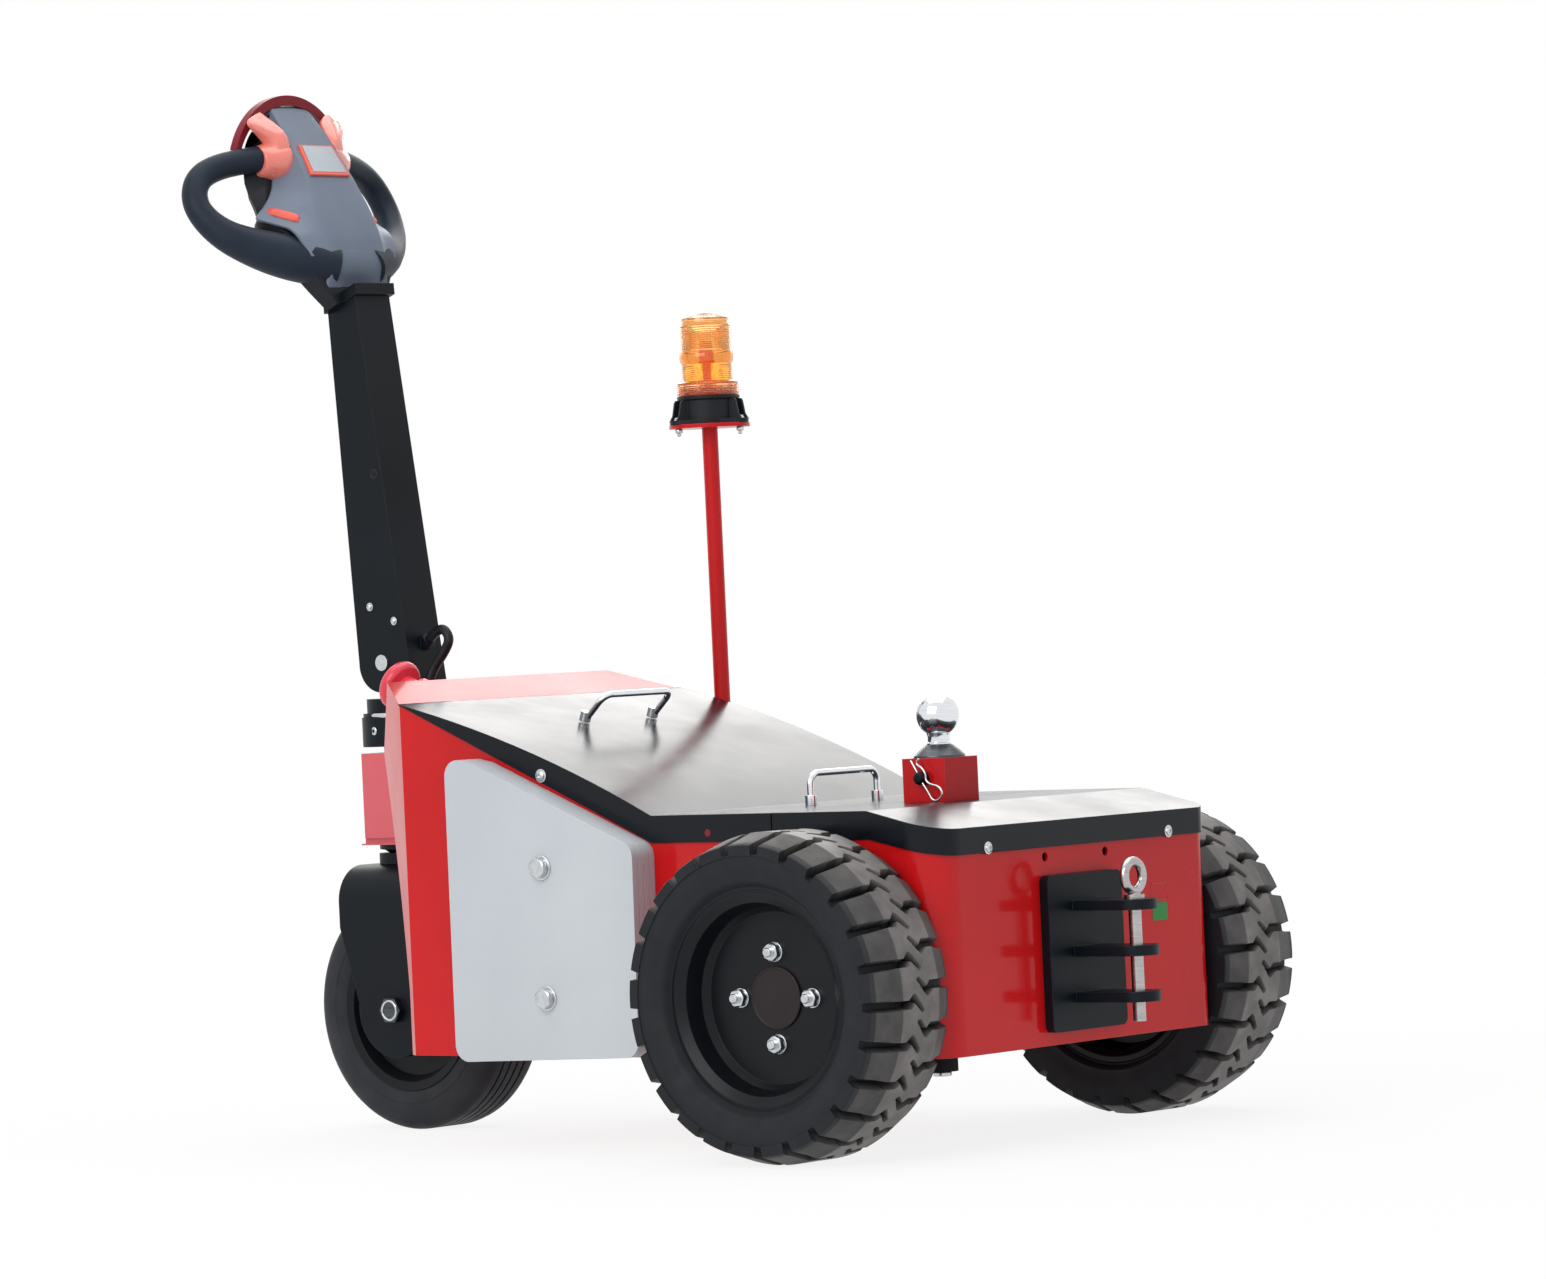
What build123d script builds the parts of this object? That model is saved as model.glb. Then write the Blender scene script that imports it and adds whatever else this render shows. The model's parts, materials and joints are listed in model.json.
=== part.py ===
"""Pedestrian electric tow tug with tiller, two lug-tyred drive wheels and one swivel wheel.

Frame: millimetres, +X towards the tow hitch, +Y to the right-hand wheel, +Z up.
The floor is Z = 0. The origin is at the middle of the bounding box's bottom face.
"""
import os
from math import cos, radians, sin

from build123d import *

os.makedirs("parts", exist_ok=True)

# ---------------------------------------------------------------- driving dimensions
DRIVE_X = 393.1            # drive axle, from the origin
SWIVEL_X = DRIVE_X - 857   # swivel wheel's axle
STEER_X = DRIVE_X - 890    # upright steering axis

# sheet body
WALL = 4.0                 # body sheet
SIDE_Y = 262.0             # outer face of the side walls
BODY_Z = 112.0             # underside of the floor
REAR_X = DRIVE_X + 163     # hitch-end face
REAR_Z = 371.0             # top edge of that face
DECK_Z = 395.0             # flat deck
DECK_REAR_X = DRIVE_X + 68
BEND_X = DRIVE_X - 254     # where the deck turns up into the front cover's curve
FRONT_X = DRIVE_X - 648    # front cover's upper edge
FRONT_Z = 536.0
NOSE_TOP_X = DRIVE_X - 717
NOSE_TOP_Z = 562.0
NOSE_X = DRIVE_X - 757     # foremost edge of the nose
NOSE_Z = 475.0
TOE_X = DRIVE_X - 664      # foot of the nose
TOE_Z = 190.0
CHEEK_X = DRIVE_X - 646    # where the slanted cheeks leave the side walls
CHEEK_SLOPE = 0.80         # cheek's run in Y for each millimetre in X
REAR_R = {-1: 42.0, 1: 22.0}   # upright rear corners, by side

# covers
SHEET = 2.5
FLANGE = 32.0
SPLIT_X = DRIVE_X - 71.6
COVER_GAP = 0.4
STRIP_GAP = 2.0            # seam between the front lid and the nose strip
UNDER_LID = SHEET + COVER_GAP
TOP_OPEN = 80.0            # height of the cut that opens the body above its walls

# ballast
PLATE_T = 10.0
PLATES = 4
PLATE_SEAM = 0.6           # groove that shows between neighbouring plates

# drive wheels
TYRE_R = 189.0
WHEEL_Y = 334.0            # middle of the rim
RIM_HALF = 60.0
TYRE_SECTIONS = (          # height from the rim's middle outwards, radius to the facets' corners
    (-66, 176), (-38, 189), (46, 189), (74, 176),
)
TREAD_MIDDLE = 4.0         # height at which the two rows of blocks meet
RIM_R = 126.0
LUGS = 24                  # tread blocks in each of the two staggered rows
TREAD_PHASE = 5.1          # first groove's angle from +X, in degrees

# swivel wheel, fork and steering head
SWIVEL_R = 152.0
SWIVEL_W = 95.0
SWIVEL_SECTIONS = (        # height from the wheel's middle, radius
    (-47.5, 130), (-40.5, 146), (-33, 152), (33, 152), (40.5, 146), (47.5, 130),
)
FORK_Y = 68.0
FORK_T = 12.0
CROWN_Z = 332.0
SHAFT_R = 20.0
HEAD_BLOCK_Y = 45.0
HEAD_BLOCK_Z = (366.0, 472.0)
STUB_END = 345.0           # drive axle's stub ends
STUB_R = 22.0
GRAB_HALF = 63.0           # grab handles
GRAB_R = 4.0
FERRULE_H = 12.0
RUN_FIT = 0.08             # radial clearance of turning shafts

SWIVEL_RIM_R = 103.0
AXLE_R = 10.0
GROOVE_W = 9.0             # tread groove
COLLAR_Z = 480.0
NECK_Z = 517.0
NECK_TOP = 540.0
TONGUE_HALF = 20.0
TILT_PIN_R = 8.0

# control head, in its own plane: y across, u up the head, n out of its face
CONSOLE_SECTIONS = (       # u, half-width at the seam, half-width of the face, n of the seam, n of the face
    (12, 60, 55, -12, 4), (30, 50, 46, -12, 17), (58, 50, 43, -12, 21), (60, 82, 47, 12, 21),
    (98, 84, 47, 8, 23), (128, 102, 43, -26, 25), (138, 92, 42, -22, 25), (172, 60, 40, -12, 25),
    (228, 54, 36, -12, 20), (264, 44, 34, -12, 7), (276, 26, 22, -12, 0),
)
HOUSING_SECTIONS = (       # u, half-width of the front and of the back, n of the front and of the back
    (-8, 44, 22, 0, -34), (24, 68, 26, 8, -44), (48, 84, 50, 10, -46), (96, 96, 84, 10, -46),
    (110, 102, 98, -8, -46), (134, 82, 76, -12, -46), (186, 78, 72, -12, -46), (222, 78, 70, -12, -46),
    (250, 62, 54, -12, -46), (274, 34, 28, -12, -46),
)
HOUSING_SIDE_N = -24.0     # the housing's sides slant inwards behind this
CAP_BACK = (DRIVE_X - 953, 1041)     # upper edge of the arm's collar, sloping with the head
CAP_FRONT = (DRIVE_X - 896, 1063)
CAP_T = 14.0
LOOP_N = 14.0              # where the loops' slanting plane meets the middle of the head
LOOP_SWEEP = radians(19.8)
LOOP_R = 16.5
LOOP_KNEE_R = 22.0         # the lower run swells towards the housing
LOOP_ROOT_R = 26.0
HUB_ROOT = (42.0, 200.0, -10.0)      # throttle hub's wide end: y, u, n
HUB_END = (74.0, 201.0, -13.0)
HUB_ROOT_R = 27.0
HUB_END_R = 19.0
PADDLE = (
    (34, 206), (38, 232), (48, 248), (58, 257), (70, 257), (76, 246), (74, 234), (66, 222), (64, 200),
)                          # y, u
PADDLE_N = (-12, 12)
BELLY_X = DRIVE_X - 1029.0     # upright end of the head, where the belly bar sits
BELLY_T = 12.0
BELLY_Z = 1205.4
BELLY_OUT = 105.0
BELLY_IN = (97.0, 92.0)        # inner radius at the ends and at the top
BELLY_END = radians(19)

# axle and hitch-end holes
AXLE_HOLE_R = 52.0
SUMP_Z = 76.0              # foot of the gearbox's drain boss
HITCH_HOLE_Y = 58.0
HITCH_HOLE_Z = 329.5
HITCH_HOLE_R = 5.5

# tiller
PIVOT_X = DRIVE_X - 883
PIVOT_Z = 585.0
ARM_Y = 32.0
HEAD_TILT = 24.5           # control head's lean from the upright
HEAD_X = DRIVE_X - 922
HEAD_Z = 1046.0

# ball, hitch and beacon
BALL_X = DRIVE_X - 29.5
BALL_Z = 496.0
BALL_R = 25.4
POST = 63.0
POST_TOP = 446.0
POST_FOOT = 330.0
SHANK = 25.0
PIN_Z = 423.0
POST_PIN_R = 8.0
HITCH_FACE_X = REAR_X + 10
HITCH_Y = 71.5
HITCH_PIN_R = 7.5
EYE_Z = 303.0
EYE_R = 17.0
EYE_WIRE = 5.5
STOP_Y = -130.0
STOP_DOWN = 24.5           # stop button's distance below the nose's upper edge
HITCH_PIN_X = DRIVE_X + 245
TONGUES = (271.0, 218.0, 165.0)   # middle height of each tongue
TONGUE_T = 12.0
TONGUE_Y = 26.0
POLE_X = DRIVE_X - 593
POLE_R = 10.0
POLE_Y = SIDE_Y + POLE_R + 9
POLE_TOP = 861.5
BASE_H = 35.5              # beacon base, with its flange

# control cable, from the arm's foot to the neck
CABLE_R = 6.2
CABLE_ROUTE = (
    (DRIVE_X - 833, 2, 612), (DRIVE_X - 811, 0, 629), (DRIVE_X - 794, -2, 613), (DRIVE_X - 802, -4, 596),
    (DRIVE_X - 817, -9, 577), (DRIVE_X - 824, -14, 557), (DRIVE_X - 824, -14, 537),
)

head_plane = Plane(
    origin=(HEAD_X, 0, HEAD_Z),
    x_dir=(0, 1, 0),
    z_dir=(cos(radians(HEAD_TILT)), 0, sin(radians(HEAD_TILT))),
)


def save(part, name):
    part.label = name
    export_step(part, f"parts/{name}.step")
    return part


def cheek_y(x, grow):
    return SIDE_Y + grow - CHEEK_SLOPE * (CHEEK_X - x)


# ---------------------------------------------------------------- sheet body
def body_block(grow, drop, nose_drop, floor):
    """Solid outline of the body, grown sideways and lowered under the lids and at the nose."""
    s = grow
    with BuildPart() as block:
        with BuildSketch(Plane.XZ):
            with BuildLine():
                Line((REAR_X + s, floor), (TOE_X - s, floor))
                Line((TOE_X - s, floor), (TOE_X - s, TOE_Z))
                ThreePointArc(
                    (TOE_X - s, TOE_Z),
                    (DRIVE_X - 695 - s, 316),
                    (NOSE_X - s, NOSE_Z),
                )
                Polyline(
                    (NOSE_X - s, NOSE_Z),
                    (NOSE_TOP_X - s, NOSE_TOP_Z - nose_drop),
                    (FRONT_X - STRIP_GAP, FRONT_Z - nose_drop),
                    (FRONT_X, FRONT_Z - drop),
                )
                ThreePointArc(
                    (FRONT_X, FRONT_Z - drop),
                    (DRIVE_X - 454, 479 - drop),
                    (BEND_X, DECK_Z - drop),
                )
                Line((BEND_X, DECK_Z - drop), (DECK_REAR_X, DECK_Z - drop))
                Line((DECK_REAR_X, DECK_Z - drop), (REAR_X + s, REAR_Z - drop))
                Line((REAR_X + s, REAR_Z - drop), (REAR_X + s, floor))
            make_face()
        extrude(amount=SIDE_Y + grow, both=True)
        with BuildSketch(Plane.XY):
            with BuildLine():
                edge = SIDE_Y + grow
                tip = cheek_y(NOSE_X - s, grow)
                near = REAR_R[-1] + grow
                far = REAR_R[1] + grow
                Polyline((REAR_X + s, -edge + near), (REAR_X + s, edge - far))
                RadiusArc((REAR_X + s, edge - far), (REAR_X + s - far, edge), -far)
                Polyline(
                    (REAR_X + s - far, edge), (CHEEK_X, edge), (NOSE_X - s, tip), (NOSE_X - s, -tip),
                    (CHEEK_X, -edge), (REAR_X + s - near, -edge),
                )
                RadiusArc((REAR_X + s - near, -edge), (REAR_X + s, -edge + near), -near)
            make_face()
        extrude(amount=NOSE_TOP_Z + 50, mode=Mode.INTERSECT)
    return block.part


def block(x0, x1, y0, y1, z0, z1, mode=Mode.ADD):
    """Axis-aligned block between two corners, added in the current builder."""
    with Locations(((x0 + x1) / 2, (y0 + y1) / 2, (z0 + z1) / 2)):
        Box(x1 - x0, y1 - y0, z1 - z0, mode=mode)


def rod(start, end, radius, mode=Mode.ADD):
    """Round bar between two points."""
    axis = Vector(*end) - Vector(*start)
    with BuildSketch(Plane(origin=start, z_dir=axis)) as section:
        Circle(radius)
    extrude(section.sketch, amount=axis.length, mode=mode)


def make_chassis_shell():
    """Welded red body: floor, side walls, nose and hitch-end wall, open under the covers."""
    with BuildPart() as shell:
        add(body_block(0, UNDER_LID, 0, BODY_Z))
        # hollow inside, and open above the walls between the nose strip and the hitch end
        add(body_block(-WALL, -TOP_OPEN, WALL, BODY_Z + WALL), mode=Mode.SUBTRACT)
        # gearbox opening in the floor
        block(DRIVE_X - 120, DRIVE_X + 70, -130, 130, BODY_Z - 5, BODY_Z + WALL + 5, Mode.SUBTRACT)
        # axle holes
        with Locations((DRIVE_X, 0, TYRE_R)):
            Cylinder(AXLE_HOLE_R, 2 * SIDE_Y + 20, rotation=(90, 0, 0), mode=Mode.SUBTRACT)
        # pair of bolt holes above the hitch
        for y in (-HITCH_HOLE_Y, HITCH_HOLE_Y):
            rod((REAR_X - 20, y, HITCH_HOLE_Z), (REAR_X + 20, y, HITCH_HOLE_Z), HITCH_HOLE_R, Mode.SUBTRACT)
    return save(shell.part, "chassis_shell")


def make_drive_unit():
    """Battery, drive motor, gearbox and axle tube: the heavy pieces inside and below the body."""
    with BuildPart() as battery:
        block(DRIVE_X - 560, DRIVE_X - 160, -215, 215, BODY_Z + WALL, 345)
    save(battery.part, "battery_pack")
    with BuildPart() as motor:
        rod((DRIVE_X - 75, -118, TYRE_R + 40), (DRIVE_X - 75, 118, TYRE_R + 40), 68)
    save(motor.part, "drive_motor")
    with BuildPart() as axle:
        rod((DRIVE_X, -SIDE_Y - 6, TYRE_R), (DRIVE_X, SIDE_Y + 6, TYRE_R), 44)
        rod((DRIVE_X, -48, TYRE_R), (DRIVE_X, 48, TYRE_R), 93)
        for side in (-1, 1):
            rod((DRIVE_X, side * SIDE_Y, TYRE_R), (DRIVE_X, side * (SIDE_Y + 6), TYRE_R), 62)
            rod((DRIVE_X, side * (SIDE_Y + 6), TYRE_R), (DRIVE_X, side * STUB_END, TYRE_R), STUB_R)
        rod((DRIVE_X - 47, 0, SUMP_Z), (DRIVE_X - 47, 0, TYRE_R - 60), 19)
        rod((DRIVE_X - 75, -118, TYRE_R + 40), (DRIVE_X - 75, 118, TYRE_R + 40), 68, Mode.SUBTRACT)
    save(axle.part, "drive_axle")


def make_headstock():
    """Block on the nose that carries the upright steering shaft."""
    low, high = HEAD_BLOCK_Z
    with BuildPart() as stock:
        with BuildSketch(Plane.XY.offset(low)):
            with BuildLine():
                Polyline(
                    (NOSE_TOP_X + 30, -HEAD_BLOCK_Y), (STEER_X - 25, -HEAD_BLOCK_Y),
                    (STEER_X - 37, -HEAD_BLOCK_Y + 15), (STEER_X - 37, HEAD_BLOCK_Y - 15),
                    (STEER_X - 25, HEAD_BLOCK_Y), (NOSE_TOP_X + 30, HEAD_BLOCK_Y), close=True,
                )
            make_face()
        extrude(amount=high - low)
        block(NOSE_TOP_X - 60, NOSE_TOP_X + 30, -6, 6, low - 30, low)
        block(STEER_X - 30, NOSE_TOP_X + 30, -HEAD_BLOCK_Y + 6, HEAD_BLOCK_Y - 6, low - 7, low)
        block(STEER_X - 34, STEER_X + 34, -HEAD_BLOCK_Y + 3, HEAD_BLOCK_Y - 3, low - 9, low - 7)
        add(body_block(0, UNDER_LID, 0, BODY_Z), mode=Mode.SUBTRACT)
        rod((STEER_X, 0, low - 12), (STEER_X, 0, high + 5), SHAFT_R + RUN_FIT, Mode.SUBTRACT)
    save(stock.part, "headstock")


def make_ballast():
    """Four flat weights bolted to each side wall, with a fine groove between neighbours."""
    for side, name in ((-1, "ballast_left"), (1, "ballast_right")):
        with BuildPart() as stack:
            for layer in range(PLATES):
                face = SIDE_Y + layer * PLATE_T
                last = layer == PLATES - 1
                with BuildSketch(Plane.XZ.offset(-side * face)) as outline:
                    with BuildLine():
                        Polyline(
                            (DRIVE_X - 544, 108), (DRIVE_X - 257, 115), (DRIVE_X - 253.5, 361),
                            (DRIVE_X - 499, 463), (DRIVE_X - 542, 472), close=True,
                        )
                    make_face()
                    fillet(outline.vertices(), 20)
                extrude(amount=-side * (PLATE_T if last else PLATE_T - PLATE_SEAM))
                if not last:
                    with BuildSketch(Plane.XZ.offset(-side * (face + PLATE_T - PLATE_SEAM))):
                        with Locations((DRIVE_X - 400, 270)):
                            Rectangle(200, 200)
                    extrude(amount=-side * PLATE_SEAM)
        save(stack.part, name)


def make_covers():
    """Front and rear lids of folded sheet with a rim all round."""
    with BuildPart() as outer:
        add(body_block(COVER_GAP + SHEET, 0, 0, BODY_Z))
        with BuildSketch(Plane.XZ):
            with BuildLine():
                Polyline(
                    (FRONT_X, FRONT_Z), (BEND_X, DECK_Z - FLANGE), (DECK_REAR_X, DECK_Z - FLANGE),
                    (REAR_X + 10, REAR_Z - FLANGE), (REAR_X + 10, DECK_Z + 200),
                    (FRONT_X, DECK_Z + 200), close=True,
                )
            make_face()
        extrude(amount=SIDE_Y + 10, both=True, mode=Mode.INTERSECT)
        add(body_block(COVER_GAP, SHEET, SHEET, BODY_Z), mode=Mode.SUBTRACT)
    for name, x0, x1 in (("front_cover", FRONT_X, SPLIT_X - 1), ("rear_cover", SPLIT_X + 1, REAR_X + 10)):
        with BuildPart() as lid:
            add(outer.part)
            with Locations(((x0 + x1) / 2, 0, DECK_Z)):
                Box(x1 - x0, 2 * SIDE_Y + 20, 500, mode=Mode.INTERSECT)
            if name == "rear_cover":
                half = POST / 2 + 2
                block(BALL_X - half, BALL_X + half, -half, half, DECK_Z - 20, DECK_Z + 20, Mode.SUBTRACT)
        save(lid.part, name)


def make_grab_handle(name, foot, normal, reach):
    """Bent round bar that rises by reach from two ferrules standing square to the lid."""
    lean = Vector(*reach)
    plane = Plane(origin=foot, x_dir=(0, 1, 0), z_dir=lean)
    with BuildPart() as handle:
        with BuildLine(plane) as path:
            FilletPolyline(
                (-GRAB_HALF, 0, 1), (-GRAB_HALF, 0, lean.length), (GRAB_HALF, 0, lean.length),
                (GRAB_HALF, 0, 1), radius=14,
            )
        with BuildSketch(Plane(origin=path.line @ 0, z_dir=path.line % 0)):
            Circle(GRAB_R)
        sweep(path=path.line)
        with BuildSketch(Plane(origin=foot, x_dir=(0, 1, 0), z_dir=normal)):
            with Locations((-GRAB_HALF, 0), (GRAB_HALF, 0)):
                Circle(GRAB_R + 3)
        extrude(amount=FERRULE_H)
    save(handle.part, name)


def wheel_location(x, y, radius):
    """Places a wheel built about +Z so that it turns about Y, its outer face towards y's sign."""
    return Location((x, y, radius), (90 if y < 0 else -90, 0, 0))


def faceted_tyre(sections, facets):
    """Solid about +Z with flat facets round it, through regular polygons of the given heights and radii."""
    with BuildPart() as solid:
        for height, radius in sections:
            with BuildSketch(Plane.XY.offset(height)):
                RegularPolygon(radius, facets, rotation=TREAD_PHASE + 90 / LUGS)
        loft(ruled=True)
    return solid.part


def drive_tyre():
    """Solid lug tyre about +Z: two staggered rows of blocks parted by grooves with hooked ends."""
    low, high = TYRE_SECTIONS[0][0], TYRE_SECTIONS[-1][0]
    with BuildPart() as tyre:
        add(faceted_tyre(TYRE_SECTIONS, 2 * LUGS))
        with BuildSketch(Plane.XY.offset(low)):
            RegularPolygon(RIM_R, 2 * LUGS, major_radius=False)
        extrude(amount=high - low, mode=Mode.SUBTRACT)
        for face, seat in ((low, -RIM_HALF), (high, RIM_HALF)):
            with BuildSketch(Plane.XY.offset(face)):
                RegularPolygon(154, LUGS)
            with BuildSketch(Plane.XY.offset(seat)):
                RegularPolygon(131, LUGS)
            loft(ruled=True, mode=Mode.SUBTRACT)
        for row, face in ((-1, low), (1, high)):
            for index in range(LUGS):
                turn = TREAD_PHASE + (index + (0.5 if row > 0 else 0)) * 360 / LUGS
                near, far = TREAD_MIDDLE + row * 5, TREAD_MIDDLE + row * 14
                spoke = Plane.XZ.rotated((0, 0, turn))
                with BuildSketch(spoke):
                    Polygon(
                        (157, face + row), (TYRE_R + 3, face + row), (TYRE_R + 3, far), (TYRE_R - 14, far),
                        align=None,
                    )
                extrude(amount=GROOVE_W / 2, both=True, mode=Mode.SUBTRACT)
                with BuildSketch(spoke):
                    Polygon(
                        (TYRE_R + 3, near), (TYRE_R - 14, near), (TYRE_R - 14, far), (TYRE_R + 3, far),
                        align=None,
                    )
                extrude(amount=row * GROOVE_W * 1.3, mode=Mode.SUBTRACT)
    return tyre.part


def make_drive_rim(side, name):
    """Deep-dished steel wheel with its hub."""
    half = RIM_HALF
    with BuildPart() as rim:
        with BuildSketch(Plane.XZ):
            with BuildLine():
                Polyline(
                    (0, half - 36), (30, half - 36), (30, half - 38), (98, half - 38), (105, half - 30),
                    (110, half - 8), (116, half - 4), (121, half - 1), (RIM_R - 0.1, half - 2),
                    (RIM_R - 0.1, -half + 2), (118, -half + 2), (110, -half + 8), (104, -half + 34),
                    (60, -half + 34), (56, -half + 2), (STUB_R + RUN_FIT, -half + 2),
                    (STUB_R + RUN_FIT, half - 46), (0, half - 46), close=True,
                )
            make_face()
        revolve(axis=Axis.Z)
    rim.part.locate(wheel_location(DRIVE_X, side * WHEEL_Y, TYRE_R))
    save(rim.part, name)


def make_swivel_wheel():
    """Ribbed solid tyre on a cast centre."""
    half = SWIVEL_W / 2
    with BuildPart() as tyre:
        add(faceted_tyre(SWIVEL_SECTIONS, 40))
        rod((0, 0, -half - 1), (0, 0, half + 1), SWIVEL_RIM_R, Mode.SUBTRACT)
    tyre.part.locate(wheel_location(SWIVEL_X, -1e-9, SWIVEL_R))
    save(tyre.part, "swivel_tyre")
    with BuildPart() as centre:
        with BuildSketch(Plane.XZ):
            Polygon(
                (AXLE_R + RUN_FIT, -half - 3), (24, -half - 3), (26, -half + 18), (84, -half + 18),
                (92, -half + 3), (SWIVEL_RIM_R - 0.1, -half + 1), (SWIVEL_RIM_R - 0.1, half - 1),
                (92, half - 3), (84, half - 18), (26, half - 18), (24, half + 3),
                (AXLE_R + RUN_FIT, half + 3), align=None,
            )
        revolve(axis=Axis.Z)
    centre.part.locate(wheel_location(SWIVEL_X, -1e-9, SWIVEL_R))
    save(centre.part, "swivel_wheel_centre")


def make_steering():
    """Bent-plate fork, upright shaft, clamp collar and the neck that the tiller hinges on."""
    with BuildPart() as fork:
        with BuildSketch(Plane.YZ.offset(STEER_X - 60)):
            with BuildLine():
                FilletPolyline((-FORK_Y, 90), (-FORK_Y, CROWN_Z), (FORK_Y, CROWN_Z), (FORK_Y, 90), radius=45)
                Line((FORK_Y, 90), (FORK_Y - FORK_T, 90))
                FilletPolyline(
                    (FORK_Y - FORK_T, 90), (FORK_Y - FORK_T, CROWN_Z - FORK_T),
                    (-FORK_Y + FORK_T, CROWN_Z - FORK_T), (-FORK_Y + FORK_T, 90), radius=45 - FORK_T,
                )
                Line((-FORK_Y + FORK_T, 90), (-FORK_Y, 90))
            make_face()
        extrude(amount=160)
        with BuildSketch(Plane.XZ):
            with BuildLine():
                Polyline(
                    (SWIVEL_X - 59.5, 160), (STEER_X - 54, 255), (STEER_X - 54, 340),
                    (STEER_X + 56, 340), (STEER_X + 56, 255), (SWIVEL_X + 59.5, 160),
                )
                ThreePointArc((SWIVEL_X + 59.5, 160), (SWIVEL_X, SWIVEL_R - 60), (SWIVEL_X - 59.5, 160))
            make_face()
        extrude(amount=FORK_Y + 5, both=True, mode=Mode.INTERSECT)
        rod((SWIVEL_X, -80, SWIVEL_R), (SWIVEL_X, 80, SWIVEL_R), AXLE_R, Mode.SUBTRACT)
    save(fork.part, "steering_fork")
    with BuildPart() as bolt:
        rod((SWIVEL_X, -78, SWIVEL_R), (SWIVEL_X, 78, SWIVEL_R), AXLE_R)
        for side in (-1, 1):
            with BuildSketch(Plane.XZ.offset(-side * FORK_Y)) as nut:
                with Locations((SWIVEL_X, SWIVEL_R)):
                    RegularPolygon(17, 6)
            extrude(nut.sketch, amount=-side * 10)
    save(bolt.part, "swivel_axle")
    with BuildPart() as shaft:
        rod((STEER_X, 0, CROWN_Z), (STEER_X, 0, NECK_Z), SHAFT_R)
        rod((STEER_X, 0, CROWN_Z), (STEER_X, 0, CROWN_Z + 14), 32)
    save(shaft.part, "steering_shaft")
    with BuildPart() as collar:
        rod((STEER_X, 0, COLLAR_Z), (STEER_X, 0, NECK_Z), 46)
        rod((STEER_X, 0, COLLAR_Z - 1), (STEER_X, 0, NECK_Z + 1), SHAFT_R, Mode.SUBTRACT)
    save(collar.part, "clamp_collar")
    with BuildPart() as neck:
        rod((STEER_X, 0, NECK_Z), (STEER_X, 0, NECK_Z + 5), 44)
        rod((STEER_X, 0, NECK_Z + 5), (STEER_X, 0, NECK_TOP), 39)
        block(PIVOT_X - 18, PIVOT_X + 18, -TONGUE_HALF, TONGUE_HALF, NECK_TOP, PIVOT_Z)
        rod((PIVOT_X, -TONGUE_HALF, PIVOT_Z), (PIVOT_X, TONGUE_HALF, PIVOT_Z), 18)
        rod((PIVOT_X, -40, PIVOT_Z), (PIVOT_X, 40, PIVOT_Z), TILT_PIN_R + RUN_FIT, Mode.SUBTRACT)
        # lug and gland that take in the cable
        end_x, end_y, end_z = CABLE_ROUTE[-1]
        block(end_x - 32, end_x + 9, end_y - 9, end_y + 9, NECK_Z, NECK_Z + 6)
        rod((end_x, end_y, NECK_Z), (end_x, end_y, end_z), CABLE_R + 2.5)
    save(neck.part, "tiller_neck")


def make_tiller_arm():
    """Tapered box arm with a rounded foot, its hinge pin and the cap under the control head."""
    with BuildPart() as arm:
        with BuildSketch(Plane.XZ):
            with BuildLine():
                Polyline(
                    (DRIVE_X - 923, PIVOT_Z), (DRIVE_X - 949, CAP_BACK[1] - CAP_T / 2),
                    (DRIVE_X - 903, CAP_FRONT[1] - CAP_T / 2), (DRIVE_X - 833, 548), (PIVOT_X - 8, 548),
                )
                ThreePointArc((PIVOT_X - 8, 548), (PIVOT_X - 32, 561), (DRIVE_X - 923, PIVOT_Z))
            make_face()
        extrude(amount=ARM_Y, both=True)
        with BuildSketch(Plane.XZ):
            Polygon(
                (PIVOT_X - 70, 530), (PIVOT_X + 26, 530), (PIVOT_X + 26, 600), (PIVOT_X + 10, 640),
                (PIVOT_X - 70, 640), align=None,
            )
        extrude(amount=TONGUE_HALF + 5.5, both=True, mode=Mode.SUBTRACT)
        with BuildSketch(Plane.XZ):
            Polygon(
                (DRIVE_X - 921, 650), (DRIVE_X - 943, CAP_BACK[1] - 20), (DRIVE_X - 902, CAP_BACK[1] - 20),
                (DRIVE_X - 851, 650), align=None,
            )
        extrude(amount=ARM_Y - 4, both=True, mode=Mode.SUBTRACT)
        rod((PIVOT_X, -50, PIVOT_Z), (PIVOT_X, 50, PIVOT_Z), TILT_PIN_R, Mode.SUBTRACT)
        # collar under the control head, and the cable's gland
        with BuildSketch(Plane.XZ):
            Polygon(
                (CAP_BACK[0] + 1, CAP_BACK[1] - CAP_T), CAP_BACK, CAP_FRONT,
                (CAP_FRONT[0] + 1, CAP_FRONT[1] - CAP_T), align=None,
            )
        extrude(amount=ARM_Y + 3.5, both=True)
        gland = Vector(*CABLE_ROUTE[1]) - Vector(*CABLE_ROUTE[0])
        root = Vector(*CABLE_ROUTE[0]) - gland.normalized() * 11
        tip = Vector(*CABLE_ROUTE[0]) - gland.normalized() * 0.1
        rod(tuple(root), tuple(tip), CABLE_R + 2.5)
    save(arm.part, "tiller_arm")
    with BuildPart() as pin:
        rod((PIVOT_X, -ARM_Y, PIVOT_Z), (PIVOT_X, ARM_Y, PIVOT_Z), TILT_PIN_R)
        for side in (-1, 1):
            rod((PIVOT_X, side * ARM_Y, PIVOT_Z), (PIVOT_X, side * (ARM_Y + 3), PIVOT_Z), 10)
    save(pin.part, "tilt_pin")


def head_section(u):
    """Plane across the head at the height u: x to the right, y into the head."""
    return Plane(head_plane.from_local_coords(Vector(0, u, 0)), head_plane.x_dir, head_plane.y_dir)


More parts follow.
